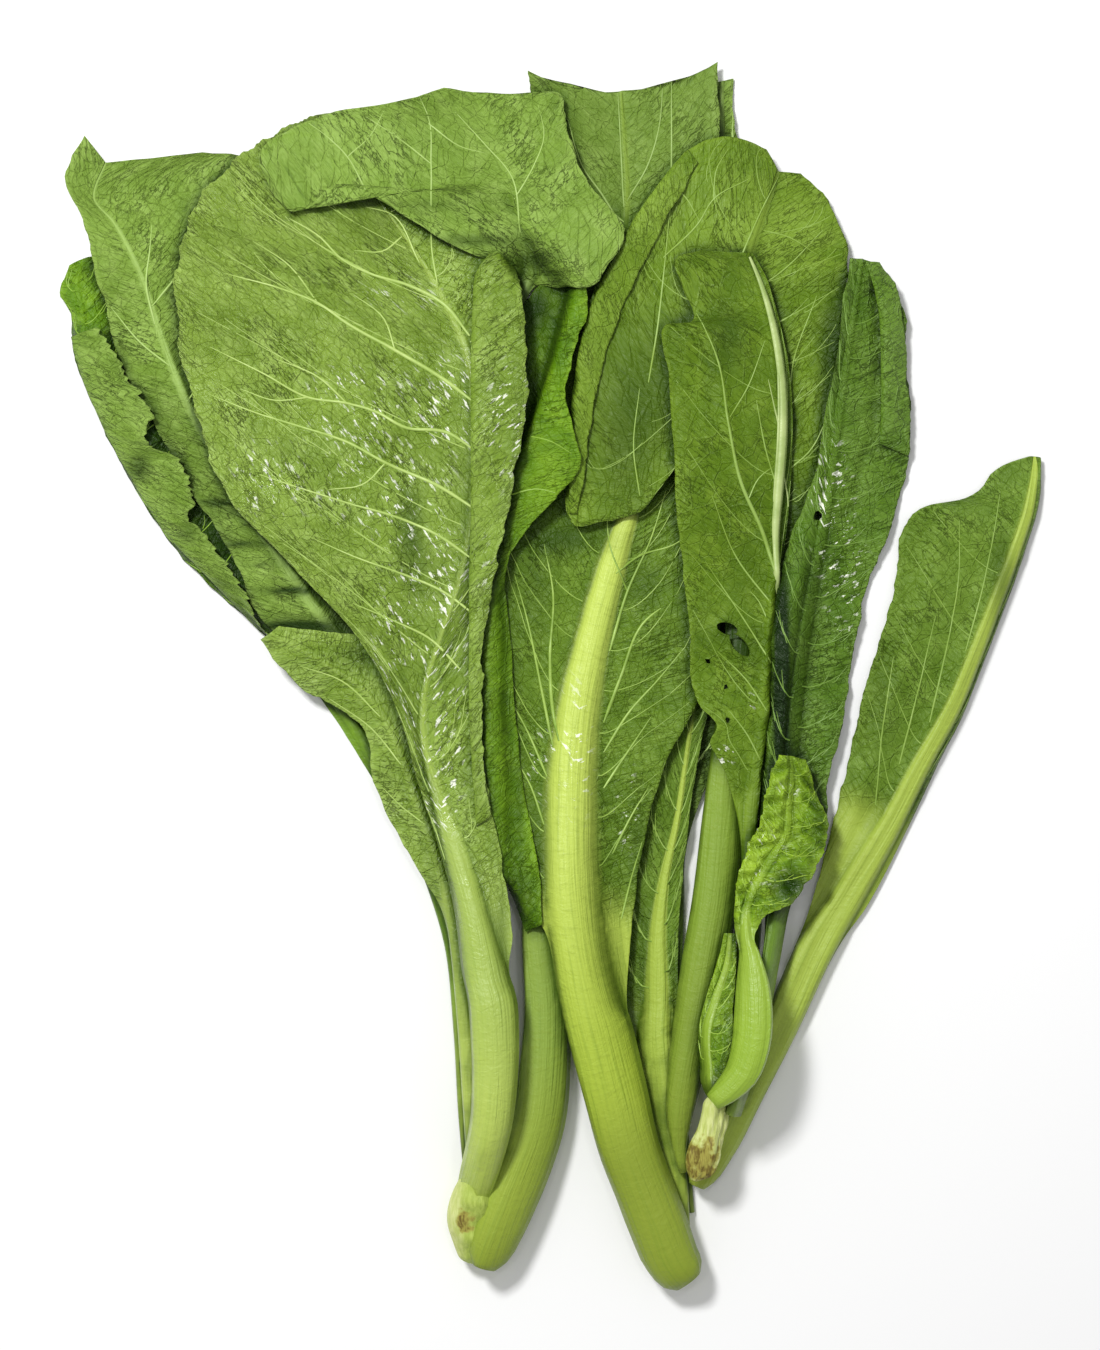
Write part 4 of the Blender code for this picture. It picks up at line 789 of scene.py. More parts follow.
def pierced(surface, holes):
    # moves the grid onto the outline of each hole and returns the cells that it takes away
    xy = surface["xy"]
    gone = np.zeros(np.array(xy.shape[:2]) - 1, bool)
    for x, y, radiusX, radiusY, degrees in holes:
        turn = math.radians(degrees)
        axes = np.array([[math.cos(turn), math.sin(turn)], [-math.sin(turn), math.cos(turn)]])
        local = (xy - (x, y)) @ axes.T / (radiusX, radiusY)
        apart = np.linalg.norm(local, axis=-1)
        inside = apart < 1
        cells = inside[:-1, :-1] & inside[1:, :-1] & inside[:-1, 1:] & inside[1:, 1:]
        gone |= cells
        kept = np.pad(~cells, 1, constant_values=True)
        rim = (kept[:-1, :-1] | kept[1:, :-1] | kept[:-1, 1:] | kept[1:, 1:]) & inside
        onRim = local / np.maximum(apart, 0.05)[..., None] * (radiusX, radiusY) @ axes + (x, y)
        touched = np.zeros(inside.shape, bool)
        for i, j in ((0, 0), (0, 1), (1, 0), (1, 1)):
            touched[i:i + cells.shape[0], j:j + cells.shape[1]] |= cells
        xy[rim & touched] = onRim[rim & touched]
    return gone


def holedFaces(rows, columns, gone):
    # the leaf's faces without the missing cells, with walls round each hole
    quads = (rows - 1) * (columns - 1)
    faces = gridFaces(rows, columns)
    missing = gone.ravel()
    keep = np.concatenate([~missing, ~missing, np.ones(len(faces) - 2 * quads, bool)])
    shift = rows * columns
    walls = []
    for i, j in np.argwhere(gone):
        a = i * columns + j
        ring = (a, a + 1, a + 1 + columns, a + columns)
        beside = ((i - 1, j), (i, j + 1), (i + 1, j), (i, j - 1))
        for k, (p, q) in enumerate(beside):
            if not gone[p, q]:
                start, end = ring[k], ring[(k + 1) % 4]
                walls.append((end, start, start + shift, end + shift))
    return np.concatenate([faces[keep], np.array(walls, int).reshape(-1, 4)])


def leafMesh(surface):
    rows, columns = surface["z"].shape
    holes = leafPlans.get(surface["name"], {}).get("holes", [])
    gone = pierced(surface, holes)
    xy = (surface["xy"] + drawingShift).reshape(-1, 2)
    top = np.column_stack([xy, (surface["z"] + surface["above"]).ravel()])
    low = np.column_stack([xy, (surface["z"] - surface["below"]).ravel()])
    mesh = bpy.data.meshes.new(surface["name"] + "_leaf")
    faces = holedFaces(rows, columns, gone)
    mesh.from_pydata((np.concatenate([top, low]) * mm).tolist(), [], faces.tolist())
    plan = leafPlans.get(surface["name"]) or flapPlans[surface["name"]]
    # painted shade and light from the listed tone spots, mixed with the leaf's own darker and paler patches
    surface["tone"] = spotted(surface["xy"], plan.get("shadeAndToneSpots", []))
    surface["wet"] = spotted(surface["xy"], plan.get("wetSpots", []))
    for key in ("rib", "across", "along", "out", "toEdge", "blade", "tone", "wet", "shade"):
        layer = mesh.attributes.new(key, "FLOAT", "POINT")
        layer.data.foreach_set("value", np.tile(surface[key].ravel(), 2).astype(np.float32))
    facing = mesh.attributes.new("upper", "FLOAT", "POINT")
    facing.data.foreach_set("value", np.repeat([1.0, 0.0], rows * columns).astype(np.float32))
    layer = mesh.uv_layers.new(name="leafMap")
    corners = np.zeros(len(mesh.loops), np.int32)
    mesh.loops.foreach_get("vertex_index", corners)
    across = np.tile(surface["across"].ravel(), 2)[corners]
    along = np.tile(surface["along"].ravel(), 2)[corners]
    layer.data.foreach_set("uv", np.column_stack([across, along]).ravel().astype(np.float32) / 400 + 0.3)
    mesh.shade_smooth()
    if holes:
        used = np.zeros(len(mesh.vertices), bool)
        used[faces.ravel()] = True
        loose = bmesh.new()
        loose.from_mesh(mesh)
        bmesh.ops.delete(loose, geom=[v for v in loose.verts if not used[v.index]], context="VERTS")
        loose.to_mesh(mesh)
        loose.free()
    return mesh


def srgb(red, green, blue):
    # a colour given 0 to 255, as the shader takes it
    values = [c / 255 for c in (red, green, blue)]
    return tuple(v / 12.92 if v <= 0.04045 else ((v + 0.055) / 1.055) ** 2.4 for v in values) + (1.0,)


# what each kind of leaf looks like; the deepest green is the colour that painted shade blends to; paleFrom and paleTo
# are lengths along the leaf, in millimetres
leafLooks = {
    "wetGreen": {"deepShadeGreen": srgb(60, 88, 8), "dark": srgb(112, 142, 38), "mid": srgb(134, 164, 58),
                 "light": srgb(158, 186, 88), "vein": srgb(176, 200, 108), "rib": srgb(156, 180, 80),
                 "stalk": srgb(174, 194, 88), "foot": srgb(160, 180, 70), "paleFrom": 15, "paleTo": 90,
                 "rough": 0.4, "wetRough": 0.12, "wet": 0.5, "bump": 1.0, "gloss": 0.42},
    "dullGreen": {"deepShadeGreen": srgb(38, 62, 8), "dark": srgb(110, 142, 46), "mid": srgb(130, 162, 64),
                  "light": srgb(150, 180, 86), "vein": srgb(164, 192, 104), "rib": srgb(150, 180, 90),
                  "stalk": srgb(156, 184, 78), "foot": srgb(146, 168, 66), "paleFrom": 25, "paleTo": 90,
                  "rough": 0.5, "wetRough": 0.34, "wet": 0.1, "bump": 1.0, "gloss": 0.24},
    "blueGreen": {"deepShadeGreen": srgb(66, 94, 22), "dark": srgb(104, 134, 44), "mid": srgb(118, 148, 58),
                  "light": srgb(136, 164, 76), "vein": srgb(148, 176, 92), "rib": srgb(138, 164, 66),
                  "stalk": srgb(152, 172, 60), "foot": srgb(136, 154, 48), "paleFrom": 10, "paleTo": 90,
                  "rough": 0.5, "wetRough": 0.34, "wet": 0.1, "bump": 0.9, "gloss": 0.24},
    "freshGreen": {"deepShadeGreen": srgb(30, 56, 4), "dark": srgb(78, 118, 6), "mid": srgb(100, 142, 14),
                   "light": srgb(130, 170, 38), "vein": srgb(140, 176, 64), "rib": srgb(120, 158, 40),
                   "stalk": srgb(148, 174, 66), "foot": srgb(140, 160, 60), "paleFrom": 30, "paleTo": 90,
                   "rough": 0.42, "wetRough": 0.26, "wet": 0.2, "bump": 0.9, "gloss": 0.26},
    "oliveGreen": {"deepShadeGreen": srgb(46, 74, 4), "dark": srgb(78, 108, 8), "mid": srgb(94, 126, 18),
                   "light": srgb(120, 150, 42), "vein": srgb(146, 176, 84), "rib": srgb(112, 142, 34),
                   "stalk": srgb(120, 146, 40), "foot": srgb(130, 152, 52), "paleFrom": 30, "paleTo": 110,
                   "rough": 0.42, "wetRough": 0.24, "wet": 0.2, "bump": 0.8, "gloss": 0.24},
    "roundGreen": {"deepShadeGreen": srgb(44, 70, 6), "dark": srgb(92, 124, 18), "mid": srgb(108, 140, 30),
                   "light": srgb(130, 160, 54), "vein": srgb(150, 180, 88), "rib": srgb(128, 156, 54),
                   "stalk": srgb(126, 150, 50), "foot": srgb(134, 154, 54), "paleFrom": 30, "paleTo": 110,
                   "rough": 0.44, "wetRough": 0.28, "wet": 0.15, "bump": 0.9, "gloss": 0.24},
    "deepGreen": {"deepShadeGreen": srgb(22, 46, 4), "dark": srgb(76, 112, 16), "mid": srgb(96, 132, 32),
                  "light": srgb(114, 148, 56), "vein": srgb(114, 150, 60), "rib": srgb(94, 128, 38),
                  "stalk": srgb(110, 144, 44), "foot": srgb(120, 146, 50), "paleFrom": 30, "paleTo": 90,
                  "rough": 0.4, "wetRough": 0.14, "wet": 0.3, "bump": 1.0, "gloss": 0.32},
    "paleStalk": {"deepShadeGreen": srgb(54, 82, 8), "dark": srgb(82, 114, 18), "mid": srgb(98, 130, 30),
                  "light": srgb(122, 154, 52), "vein": srgb(156, 186, 84), "rib": srgb(190, 210, 92),
                  "stalk": srgb(166, 188, 62), "foot": srgb(136, 154, 48), "paleFrom": 60, "paleTo": 170,
                  "rough": 0.42, "wetRough": 0.22, "wet": 0.3, "bump": 0.9, "gloss": 0.28},
    "farGreen": {"deepShadeGreen": srgb(56, 84, 8), "dark": srgb(88, 120, 26), "mid": srgb(106, 138, 40),
                 "light": srgb(126, 158, 60), "vein": srgb(140, 170, 72), "rib": srgb(164, 186, 74),
                 "stalk": srgb(160, 182, 72), "foot": srgb(146, 162, 52), "paleFrom": 10, "paleTo": 60,
                 "rough": 0.42, "wetRough": 0.26, "wet": 0.2, "bump": 0.9, "gloss": 0.26},
    "youngGreen": {"deepShadeGreen": srgb(36, 66, 4), "dark": srgb(88, 126, 10), "mid": srgb(112, 150, 22),
                   "light": srgb(156, 190, 50), "vein": srgb(156, 188, 74), "rib": srgb(146, 176, 58),
                   "stalk": srgb(146, 178, 54), "foot": srgb(142, 170, 56), "paleFrom": 10, "paleTo": 50,
                   "rough": 0.36, "wetRough": 0.16, "wet": 0.4, "bump": 0.8, "gloss": 0.38},
}
# the white of the painted highlights
paintedGlint = srgb(244, 249, 228)
creamRib = {"vein": srgb(178, 196, 124), "light": srgb(146, 170, 90), "rough": 0.42}


class Shading:
    # a short way to write a node tree: every call adds one node and returns its first output
    def __init__(self, name):
        self.material = bpy.data.materials.new(name)
        self.material.use_nodes = True
        self.tree = self.material.node_tree
        self.shader = self.tree.nodes["Principled BSDF"]

    def fill(self, socket, value):
        if isinstance(value, bpy.types.NodeSocket):
            self.tree.links.new(value, socket)
        else:
            socket.default_value = value

    def add(self, kind, inputs=None, output=0, **settings):
        node = self.tree.nodes.new(kind)
        for key, value in settings.items():
            setattr(node, key, value)
        for key, value in (inputs or {}).items():
            self.fill(node.inputs[key], value)
        return node.outputs[output]

    def read(self, attribute):
        return self.add("ShaderNodeAttribute", output="Fac", attribute_name=attribute)

    def math(self, operation, a, b=0.0, clamp=False):
        return self.add("ShaderNodeMath", {0: a, 1: b}, operation=operation, use_clamp=clamp)

    def ramp(self, value, low, high, toLow=0.0, toHigh=1.0):
        return self.add("ShaderNodeMapRange", {"Value": value, "From Min": low, "From Max": high,
                                               "To Min": toLow, "To Max": toHigh},
                        interpolation_type="SMOOTHSTEP")

    def blend(self, share, a, b):
        node = self.tree.nodes.new("ShaderNodeMix")
        node.data_type = "RGBA"
        self.fill(node.inputs[0], share)
        self.fill(node.inputs[6], a)
        self.fill(node.inputs[7], b)
        return node.outputs[2]

    def noise(self, vector, scale, detail=3.0, rough=0.55):
        return self.add("ShaderNodeTexNoise", {"Vector": vector, "Scale": scale, "Detail": detail,
                                               "Roughness": rough})


def leafMaterial(name, look):
    s = Shading(name)
    rib, across, along = s.read("rib"), s.read("across"), s.read("along")
    out, blade, upper = s.read("out"), s.read("blade"), s.read("upper")
    tone, wet, toEdge = s.read("tone"), s.read("wet"), s.read("toEdge")
    point = s.add("ShaderNodeCombineXYZ", {0: across, 1: along, 2: upper})
    shake = s.add("ShaderNodeTexNoise", {"Vector": point, "Scale": 0.12, "Detail": 2.0}, output="Color")
    shaken = s.add("ShaderNodeVectorMath", {0: shake, "Scale": 3.0}, operation="SCALE")
    netPoint = s.add("ShaderNodeVectorMath", {0: point, 1: shaken}, operation="ADD")

    # a net of fine veins: the wide meshes pale, the narrow ones sunk and darkened with painted shade
    wide = s.add("ShaderNodeTexVoronoi", {"Vector": netPoint, "Scale": 0.12}, feature="DISTANCE_TO_EDGE")
    narrow = s.add("ShaderNodeTexVoronoi", {"Vector": netPoint, "Scale": 0.26}, feature="DISTANCE_TO_EDGE")
    wideLine = s.ramp(wide, 0.0, 0.045, 1.0, 0.0)
    narrowLine = s.ramp(narrow, 0.0, 0.07, 1.0, 0.0)

    # fine wrinkles run out from the midrib, as the side veins do
    outward = s.math("ABSOLUTE", across)
    slant = s.math("SUBTRACT", along, s.math("MULTIPLY", outward, 0.7))
    wrinklePoint = s.add("ShaderNodeCombineXYZ", {0: s.math("MULTIPLY", slant, 0.55),
                                                  1: s.math("MULTIPLY", across, 0.11), 2: upper})
    wrinkle = s.noise(wrinklePoint, 1.0, 4.0, 0.6)

    cloud = s.noise(point, 0.03, 3.0)
    patch = s.noise(point, 0.1, 4.0, 0.6)
    grain = s.noise(point, 0.9, 3.0, 0.6)
    colour = s.blend(s.ramp(cloud, 0.35, 0.65), look["dark"], look["mid"])
    colour = s.blend(s.ramp(patch, 0.4, 0.72, 0.0, 0.7), colour, look["light"])
    colour = s.blend(s.ramp(grain, 0.45, 0.8, 0.0, 0.3), colour, look["dark"])
    # painted shade in the wrinkle troughs and painted highlight on their crests, following the wrinkles' bump
    colour = s.blend(s.ramp(wrinkle, 0.5, 0.34, 0.0, 0.55), colour, look["dark"])
    colour = s.blend(s.ramp(wrinkle, 0.42, 0.28, 0.0, 0.4), colour, look["deepShadeGreen"])
    colour = s.blend(s.ramp(wrinkle, 0.55, 0.72, 0.0, 0.4), colour, look["light"])
    # painted light where the tone spots are positive, mixed with the leaf's own paler patches
    colour = s.blend(s.ramp(tone, 0.0, 1.0), colour, look["light"])
    onBlade = s.math("MULTIPLY", blade, s.ramp(out, 0.0, 0.1))
    here = s.ramp(s.noise(point, 0.05, 2.0), 0.44, 0.64, 0.1, 1.0)
    # the pale vein net, and the sunk net darkened with painted shade
    for line, strength, tint in ((wideLine, 0.16, look["vein"]), (narrowLine, 0.1, look["deepShadeGreen"])):
        shown = s.math("MULTIPLY", s.math("MULTIPLY", line, onBlade), s.math("MULTIPLY", here, strength))
        colour = s.blend(shown, colour, tint)
    # thin creases, darkened with painted shade
    creasePoint = s.add("ShaderNodeCombineXYZ", {0: s.math("MULTIPLY", slant, 0.3),
                                                 1: s.math("MULTIPLY", across, 0.12), 2: upper})
    fromLine = s.math("ABSOLUTE", s.math("SUBTRACT", s.noise(creasePoint, 1.0, 4.0, 0.62), 0.5))
    crease = s.math("MULTIPLY", s.ramp(fromLine, 0.0, 0.02, 1.0, 0.0), s.math("MULTIPLY", onBlade, here))
    colour = s.blend(s.math("MULTIPLY", crease, 0.24), colour, look["deepShadeGreen"])
    colour = s.blend(s.math("MULTIPLY", s.ramp(toEdge, 2.2, 0.2), s.math("MULTIPLY", blade, 0.4)),
                     colour, look["light"])

    # the midrib and the stalk, with fine stripes along them and short flecks across
    stripePoint = s.add("ShaderNodeCombineXYZ", {0: s.math("MULTIPLY", across, 0.9),
                                                 1: s.math("MULTIPLY", along, 0.02)})
    stripes = s.noise(stripePoint, 1.0, 3.0, 0.65)
    fleckPoint = s.add("ShaderNodeCombineXYZ", {0: s.math("MULTIPLY", across, 0.16),
                                                1: s.math("MULTIPLY", along, 0.6)})
    flecks = s.noise(fleckPoint, 1.0, 3.0, 0.6)
    stalkColour = s.blend(s.ramp(along, look["paleFrom"] - 20.0, look["paleFrom"] + 20.0),
                          look["foot"], look["stalk"])
    stalkColour = s.blend(s.ramp(along, look["paleFrom"] + 10.0, look["paleTo"]), stalkColour, look["rib"])
    stalkColour = s.blend(s.ramp(stripes, 0.46, 0.72, 0.0, 0.3), stalkColour, look["mid"])
    stalkColour = s.blend(s.ramp(flecks, 0.5, 0.75, 0.0, 0.3), stalkColour, look["foot"])
    ribShare = s.math("MAXIMUM", s.ramp(rib, 0.1, 0.7), s.ramp(blade, 0.0, 0.6, 0.9, 0.0))
    colour = s.blend(ribShare, colour, stalkColour)
    # painted shade where the tone spots are negative, mixed with the leaf's own darker patches
    colour = s.blend(s.ramp(tone, 0.0, -1.0), colour, look["deepShadeGreen"])
    # painted shade where higher leaves crowd round, stronger the more they cover
    shade = s.math("MULTIPLY", s.read("shade"), upper)
    colour = s.blend(s.ramp(shade, 0.02, 0.6, 0.0, 0.9), colour, look["deepShadeGreen"])

    # painted highlights: small white glints painted into the colour on the crests where the leaf is wet
    glintPoint = s.add("ShaderNodeCombineXYZ", {0: s.math("MULTIPLY", slant, 0.52),
                                                1: s.math("MULTIPLY", across, 0.24), 2: upper})
    crest = s.ramp(s.noise(glintPoint, 1.0, 3.0, 0.6), 0.585, 0.62)
    glint = s.math("MULTIPLY", s.math("MULTIPLY", crest, s.ramp(patch, 0.42, 0.5)), s.ramp(wet, 0.1, 0.6))
    colour = s.blend(s.math("MULTIPLY", glint, upper), colour, paintedGlint)
    s.fill(s.shader.inputs["Base Color"], colour)

    wetness = s.math("ADD", s.ramp(s.noise(point, 0.07, 3.0), 0.52 - look["wet"] * 0.2, 0.66, 0.0, look["wet"]),
                     s.math("MULTIPLY", wet, s.ramp(patch, 0.38, 0.55)), True)
    rough = s.ramp(wetness, 0.0, 1.0, look["rough"], look["wetRough"])
    rough = s.math("ADD", rough, s.ramp(grain, 0.3, 0.8, -0.04, 0.08), True)
    s.fill(s.shader.inputs["Roughness"], rough)
    s.shader.inputs["Specular IOR Level"].default_value = look["gloss"]

    # relief too fine for the mesh
    height = s.math("MULTIPLY", wideLine, 0.35)
    height = s.math("SUBTRACT", height, s.math("MULTIPLY", narrowLine, 0.3))
    height = s.math("SUBTRACT", height, s.math("MULTIPLY", crease, 0.9))
    height = s.math("ADD", height, s.math("MULTIPLY", s.noise(point, 0.32, 3.0, 0.55), 0.8))
    height = s.math("ADD", height, s.math("MULTIPLY", wrinkle, 2.2))
    height = s.math("ADD", height, s.math("MULTIPLY", grain, 0.25))
    height = s.math("MULTIPLY", height, s.ramp(ribShare, 0.0, 1.0, 1.0, 0.12))
    height = s.math("ADD", height, s.math("MULTIPLY", s.math("MULTIPLY", stripes, ribShare), 0.7))
    height = s.math("ADD", height, s.math("MULTIPLY", s.math("MULTIPLY", flecks, ribShare), 0.3))
    bump = s.add("ShaderNodeBump", {"Strength": look["bump"], "Distance": 0.0008, "Height": height})
    s.fill(s.shader.inputs["Normal"], bump)
    return s.material


def veinMaterial(name, look):
    s = Shading(name)
    place = s.add("ShaderNodeTexCoord", output="Object")
    tone = s.noise(place, 90.0, 3.0)
    s.fill(s.shader.inputs["Base Color"], s.blend(s.ramp(tone, 0.35, 0.7), look["vein"], look["light"]))
    s.fill(s.shader.inputs["Roughness"], s.ramp(tone, 0.3, 0.7, look["rough"] - 0.06, look["rough"] + 0.06))
    bump = s.add("ShaderNodeBump", {"Strength": 0.4, "Distance": 0.0003, "Height": s.noise(place, 700.0, 2.0)})
    s.fill(s.shader.inputs["Normal"], bump)
    return s.material


cutLook = {"flesh": (srgb(188, 200, 108), srgb(214, 220, 150)), "skin": (srgb(158, 178, 74), srgb(178, 196, 92)),
           "stain": srgb(164, 158, 72), "brown": srgb(112, 96, 36)}


def cutMaterial(name, foot):
    # green skin that turns to pale flesh, torn brown in one place
    s = Shading(name)
    place = s.add("ShaderNodeTexCoord", output="Object")
    long = s.add("ShaderNodeMapping", {"Vector": place, "Scale": (900.0, 140.0, 900.0)})
    fibre = s.noise(long, 1.0, 4.0, 0.6)
    blotch = s.noise(place, 260.0, 3.0)
    split = s.tree.nodes.new("ShaderNodeSeparateXYZ")
    s.fill(split.inputs[0], place)
    x, y, radiusX, radiusY = foot["torn"]
    fromX = s.math("DIVIDE", s.math("SUBTRACT", split.outputs[0], (x + drawingShift[0]) * mm), radiusX * mm)
    fromY = s.math("DIVIDE", s.math("SUBTRACT", split.outputs[1], (y + drawingShift[1]) * mm), radiusY * mm)
    apart = s.math("ADD", s.math("MULTIPLY", fromX, fromX), s.math("MULTIPLY", fromY, fromY))
    ragged = s.math("ADD", apart, s.ramp(blotch, 0.3, 0.7, -0.7, 0.7))
    colour = s.blend(s.ramp(fibre, 0.35, 0.7), *cutLook["flesh"])
    green = s.ramp(split.outputs[0], (foot["greenFrom"] + drawingShift[0] - 2.5) * mm,
                   (foot["greenFrom"] + drawingShift[0] + 3.5) * mm)
    colour = s.blend(green, colour, s.blend(s.ramp(fibre, 0.35, 0.7), *cutLook["skin"]))
    colour = s.blend(s.ramp(ragged, 1.3, 0.5), colour, cutLook["stain"])
    torn = s.math("MULTIPLY", s.ramp(ragged, 0.8, 0.2), s.ramp(fibre, 0.62, 0.4))
    colour = s.blend(torn, colour, cutLook["brown"])
    s.fill(s.shader.inputs["Base Color"], colour)
    s.fill(s.shader.inputs["Roughness"], s.ramp(fibre, 0.3, 0.7, 0.42, 0.66))
    s.shader.inputs["Specular IOR Level"].default_value = 0.3
    bump = s.add("ShaderNodeBump", {"Strength": 0.8, "Distance": 0.0007, "Height": fibre})
    s.fill(s.shader.inputs["Normal"], bump)
    return s.material


# side veins, raised on the blade
veinShape = {"sides": 6, "points": 14, "step": 2.0, "reach": 0.93, "sunk": 0.3, "thinEnd": 0.10,
             "forks": (0.34, 0.6), "forkRadius": 0.45, "forkReach": 0.95, "tipLeftBare": 6, "towardsTip": 0.55}


def sampleSurface(surface, rows, columns):
    # a point on the leaf's upper face at fractional rows and columns
    last = np.array(surface["z"].shape) - 1
    rows, columns = np.clip(rows, 0, last[0] - 1e-6), np.clip(columns, 0, last[1] - 1e-6)
    i, j = rows.astype(int), columns.astype(int)
    a, b = (rows - i)[:, None], (columns - j)[:, None]
    cube = np.dstack([surface["xy"], surface["z"] + surface["above"]])
    return (cube[i, j] * (1 - a) * (1 - b) + cube[i + 1, j] * a * (1 - b)
            + cube[i, j + 1] * (1 - a) * b + cube[i + 1, j + 1] * a * b)


def drawnVeins(surface, leaf):
    # veins through listed places, dropped on the leaf's upper face
    rows, columns = surface["z"].shape
    points = np.dstack([surface["xy"], surface["z"] + surface["above"]]).reshape(-1, 3)
    i, j = np.meshgrid(np.arange(rows - 1), np.arange(columns - 1), indexing="ij")
    a = (i * columns + j).ravel()
    quads = np.stack([a, a + 1, a + 1 + columns, a + columns], axis=1)
    top = BVHTree.FromPolygons(points.tolist(), quads.tolist())
    paths = []
    for radius, line, *spindle in leaf["veinLines"]:
        places = np.array(line, float)
        knots = np.concatenate([[0], np.cumsum(np.linalg.norm(np.diff(places, axis=0), axis=1))])
        wanted = np.linspace(0, knots[-1], max(4, round(knots[-1] / veinShape["step"])))
        smooth = curveThrough(knots, places, wanted)
        hits = [top.ray_cast(Vector((x, y, 1000)), Vector((0, 0, -1)))[0] for x, y in smooth]
        kept = [k for k, hit in enumerate(hits) if hit is not None]
        if len(kept) < 4:
            continue
        share = wanted / knots[-1]
        taper = np.sin(math.pi * share) ** 0.5 if spindle else (1 - share) ** 0.6 * np.clip(share * 6 + 0.35, 0, 1)
        thick = (radius * taper + veinShape["thinEnd"])[kept]
        found = np.array([hits[k] for k in kept])
        found[:, 2] -= thick * veinShape["sunk"]
        paths.append((found, thick))
    return paths


def grownVeins(surface, vein, seed):
    # each side vein leaves the midrib, bends towards the tip and forks on its way out
    random = np.random.default_rng(seed)
    along = surface["along"][:, 0]
    bladeRows = np.where(surface["blade"][:, 0] > 0.25)[0]
    side = (surface["z"].shape[1] - 1) // 2
    ribEnd = sheet["ribColumns"] - 1
    count = side - ribEnd
    lean = vein.get("rise", vein["spacing"])
    paths = []

    def trace(start, sign, fromOut, toOut, rise, radius):
        t = np.linspace(0, 1, veinShape["points"])
        out = fromOut + (toOut - fromOut) * t
        bend = np.sin(t * 2.2 + random.uniform(0, 6)) * random.uniform(0.2, 0.9)
        place = start + rise * t**1.5 + bend
        rows = np.interp(place, along, np.arange(len(along)))
        columns = side + sign * np.where(out <= 0, ribEnd * 0.6, ribEnd + out * count)
        thick = radius * ((1 - t) ** 0.75) + veinShape["thinEnd"]
        points = sampleSurface(surface, rows, columns)
        points[:, 2] -= thick * veinShape["sunk"]
        if place[-1] < along[-1] - 1:
            paths.append((points, thick))

    for sign in (-1, 1):
        place = along[bladeRows[0]] + vein["spacing"] * (0.4 if sign < 0 else 0.8)
        while place < along[-1] - veinShape["tipLeftBare"]:
            rowShare = (place - along[bladeRows[0]]) / (along[-1] - along[bladeRows[0]])
            radius = vein["radius"] * (1 - veinShape["towardsTip"] * rowShare)
            rise = lean * random.uniform(0.5, 0.95)
            trace(place, sign, vein.get("start", -0.01), veinShape["reach"], rise, radius)
            for fork in vein.get("forks", veinShape["forks"]):
                leaving = fork + random.uniform(-0.07, 0.07)
                start = place + rise * leaving**1.5
                trace(start, sign, leaving, min(veinShape["forkReach"], leaving + random.uniform(0.2, 0.36)),
                      lean * random.uniform(0.35, 0.6), radius * veinShape["forkRadius"])
            place += vein["spacing"] * random.uniform(0.85, 1.15)
    return paths


def veinTree():
    tree = bpy.data.node_groups.new("veinCords", "GeometryNodeTree")
    tree.interface.new_socket("Geometry", in_out="INPUT", socket_type="NodeSocketGeometry")
    tree.interface.new_socket("Sides", in_out="INPUT", socket_type="NodeSocketInt")
    tree.interface.new_socket("Material", in_out="INPUT", socket_type="NodeSocketMaterial")
    tree.interface.new_socket("Geometry", in_out="OUTPUT", socket_type="NodeSocketGeometry")
    add, link = tree.nodes.new, tree.links.new
    given, result = add("NodeGroupInput"), add("NodeGroupOutput")
    toCurve, setRadius = add("GeometryNodeMeshToCurve"), add("GeometryNodeSetCurveRadius")
    thick = add("GeometryNodeInputNamedAttribute")
    thick.data_type = "FLOAT"
    thick.inputs["Name"].default_value = "thick"
    ring, sweep = add("GeometryNodeCurvePrimitiveCircle"), add("GeometryNodeCurveToMesh")
    ring.inputs["Radius"].default_value = 1.0
    sweep.inputs["Fill Caps"].default_value = True
    realize, paint = add("GeometryNodeRealizeInstances"), add("GeometryNodeSetMaterial")
    link(given.outputs["Geometry"], toCurve.inputs[0])
    link(toCurve.outputs[0], setRadius.inputs["Curve"])
    link(thick.outputs["Attribute"], setRadius.inputs["Radius"])
    link(given.outputs["Sides"], ring.inputs["Resolution"])
    link(setRadius.outputs[0], sweep.inputs["Curve"])
    link(ring.outputs[0], sweep.inputs["Profile Curve"])
    if "Scale" in sweep.inputs:
        link(thick.outputs["Attribute"], sweep.inputs["Scale"])
    link(sweep.outputs[0], realize.inputs[0])
    link(realize.outputs[0], paint.inputs["Geometry"])
    link(given.outputs["Material"], paint.inputs["Material"])
    link(paint.outputs[0], result.inputs[0])
    return tree


def socketId(tree, name):
    sockets = [item for item in tree.interface.items_tree if item.in_out == "INPUT" and item.name == name]
    return sockets[0].identifier


def linked(name, data):
    thing = bpy.data.objects.new(name, data)
    bpy.context.scene.collection.objects.link(thing)
    return thing


def applyTree(name, mesh, tree, values):
    # runs a tree on a mesh and returns the result as a plain object
    guide = linked(name + "_guide", mesh)
    modifier = guide.modifiers.new("tree", "NODES")
    modifier.node_group = tree
    for key, value in values.items():
        modifier[socketId(tree, key)] = value
    made = guide.evaluated_get(bpy.context.evaluated_depsgraph_get())
    result = bpy.data.meshes.new_from_object(made)
    bpy.data.objects.remove(guide)
    result.shade_smooth()
    return linked(name, result)


def veinPiece(name, paths, tree, material):
    points, edges, thick = [], [], []
    for line, radii in paths:
        first = len(points)
        points.extend(((line + (*drawingShift, 0)) * mm).tolist())
        edges.extend((first + k, first + k + 1) for k in range(len(line) - 1))
        thick.extend(radii * mm)
    mesh = bpy.data.meshes.new(name + "_lines")
    mesh.from_pydata(points, edges, [])
    layer = mesh.attributes.new("thick", "FLOAT", "POINT")
    layer.data.foreach_set("value", np.array(thick, np.float32))
    return applyTree(name, mesh, tree, {"Sides": veinShape["sides"], "Material": material})


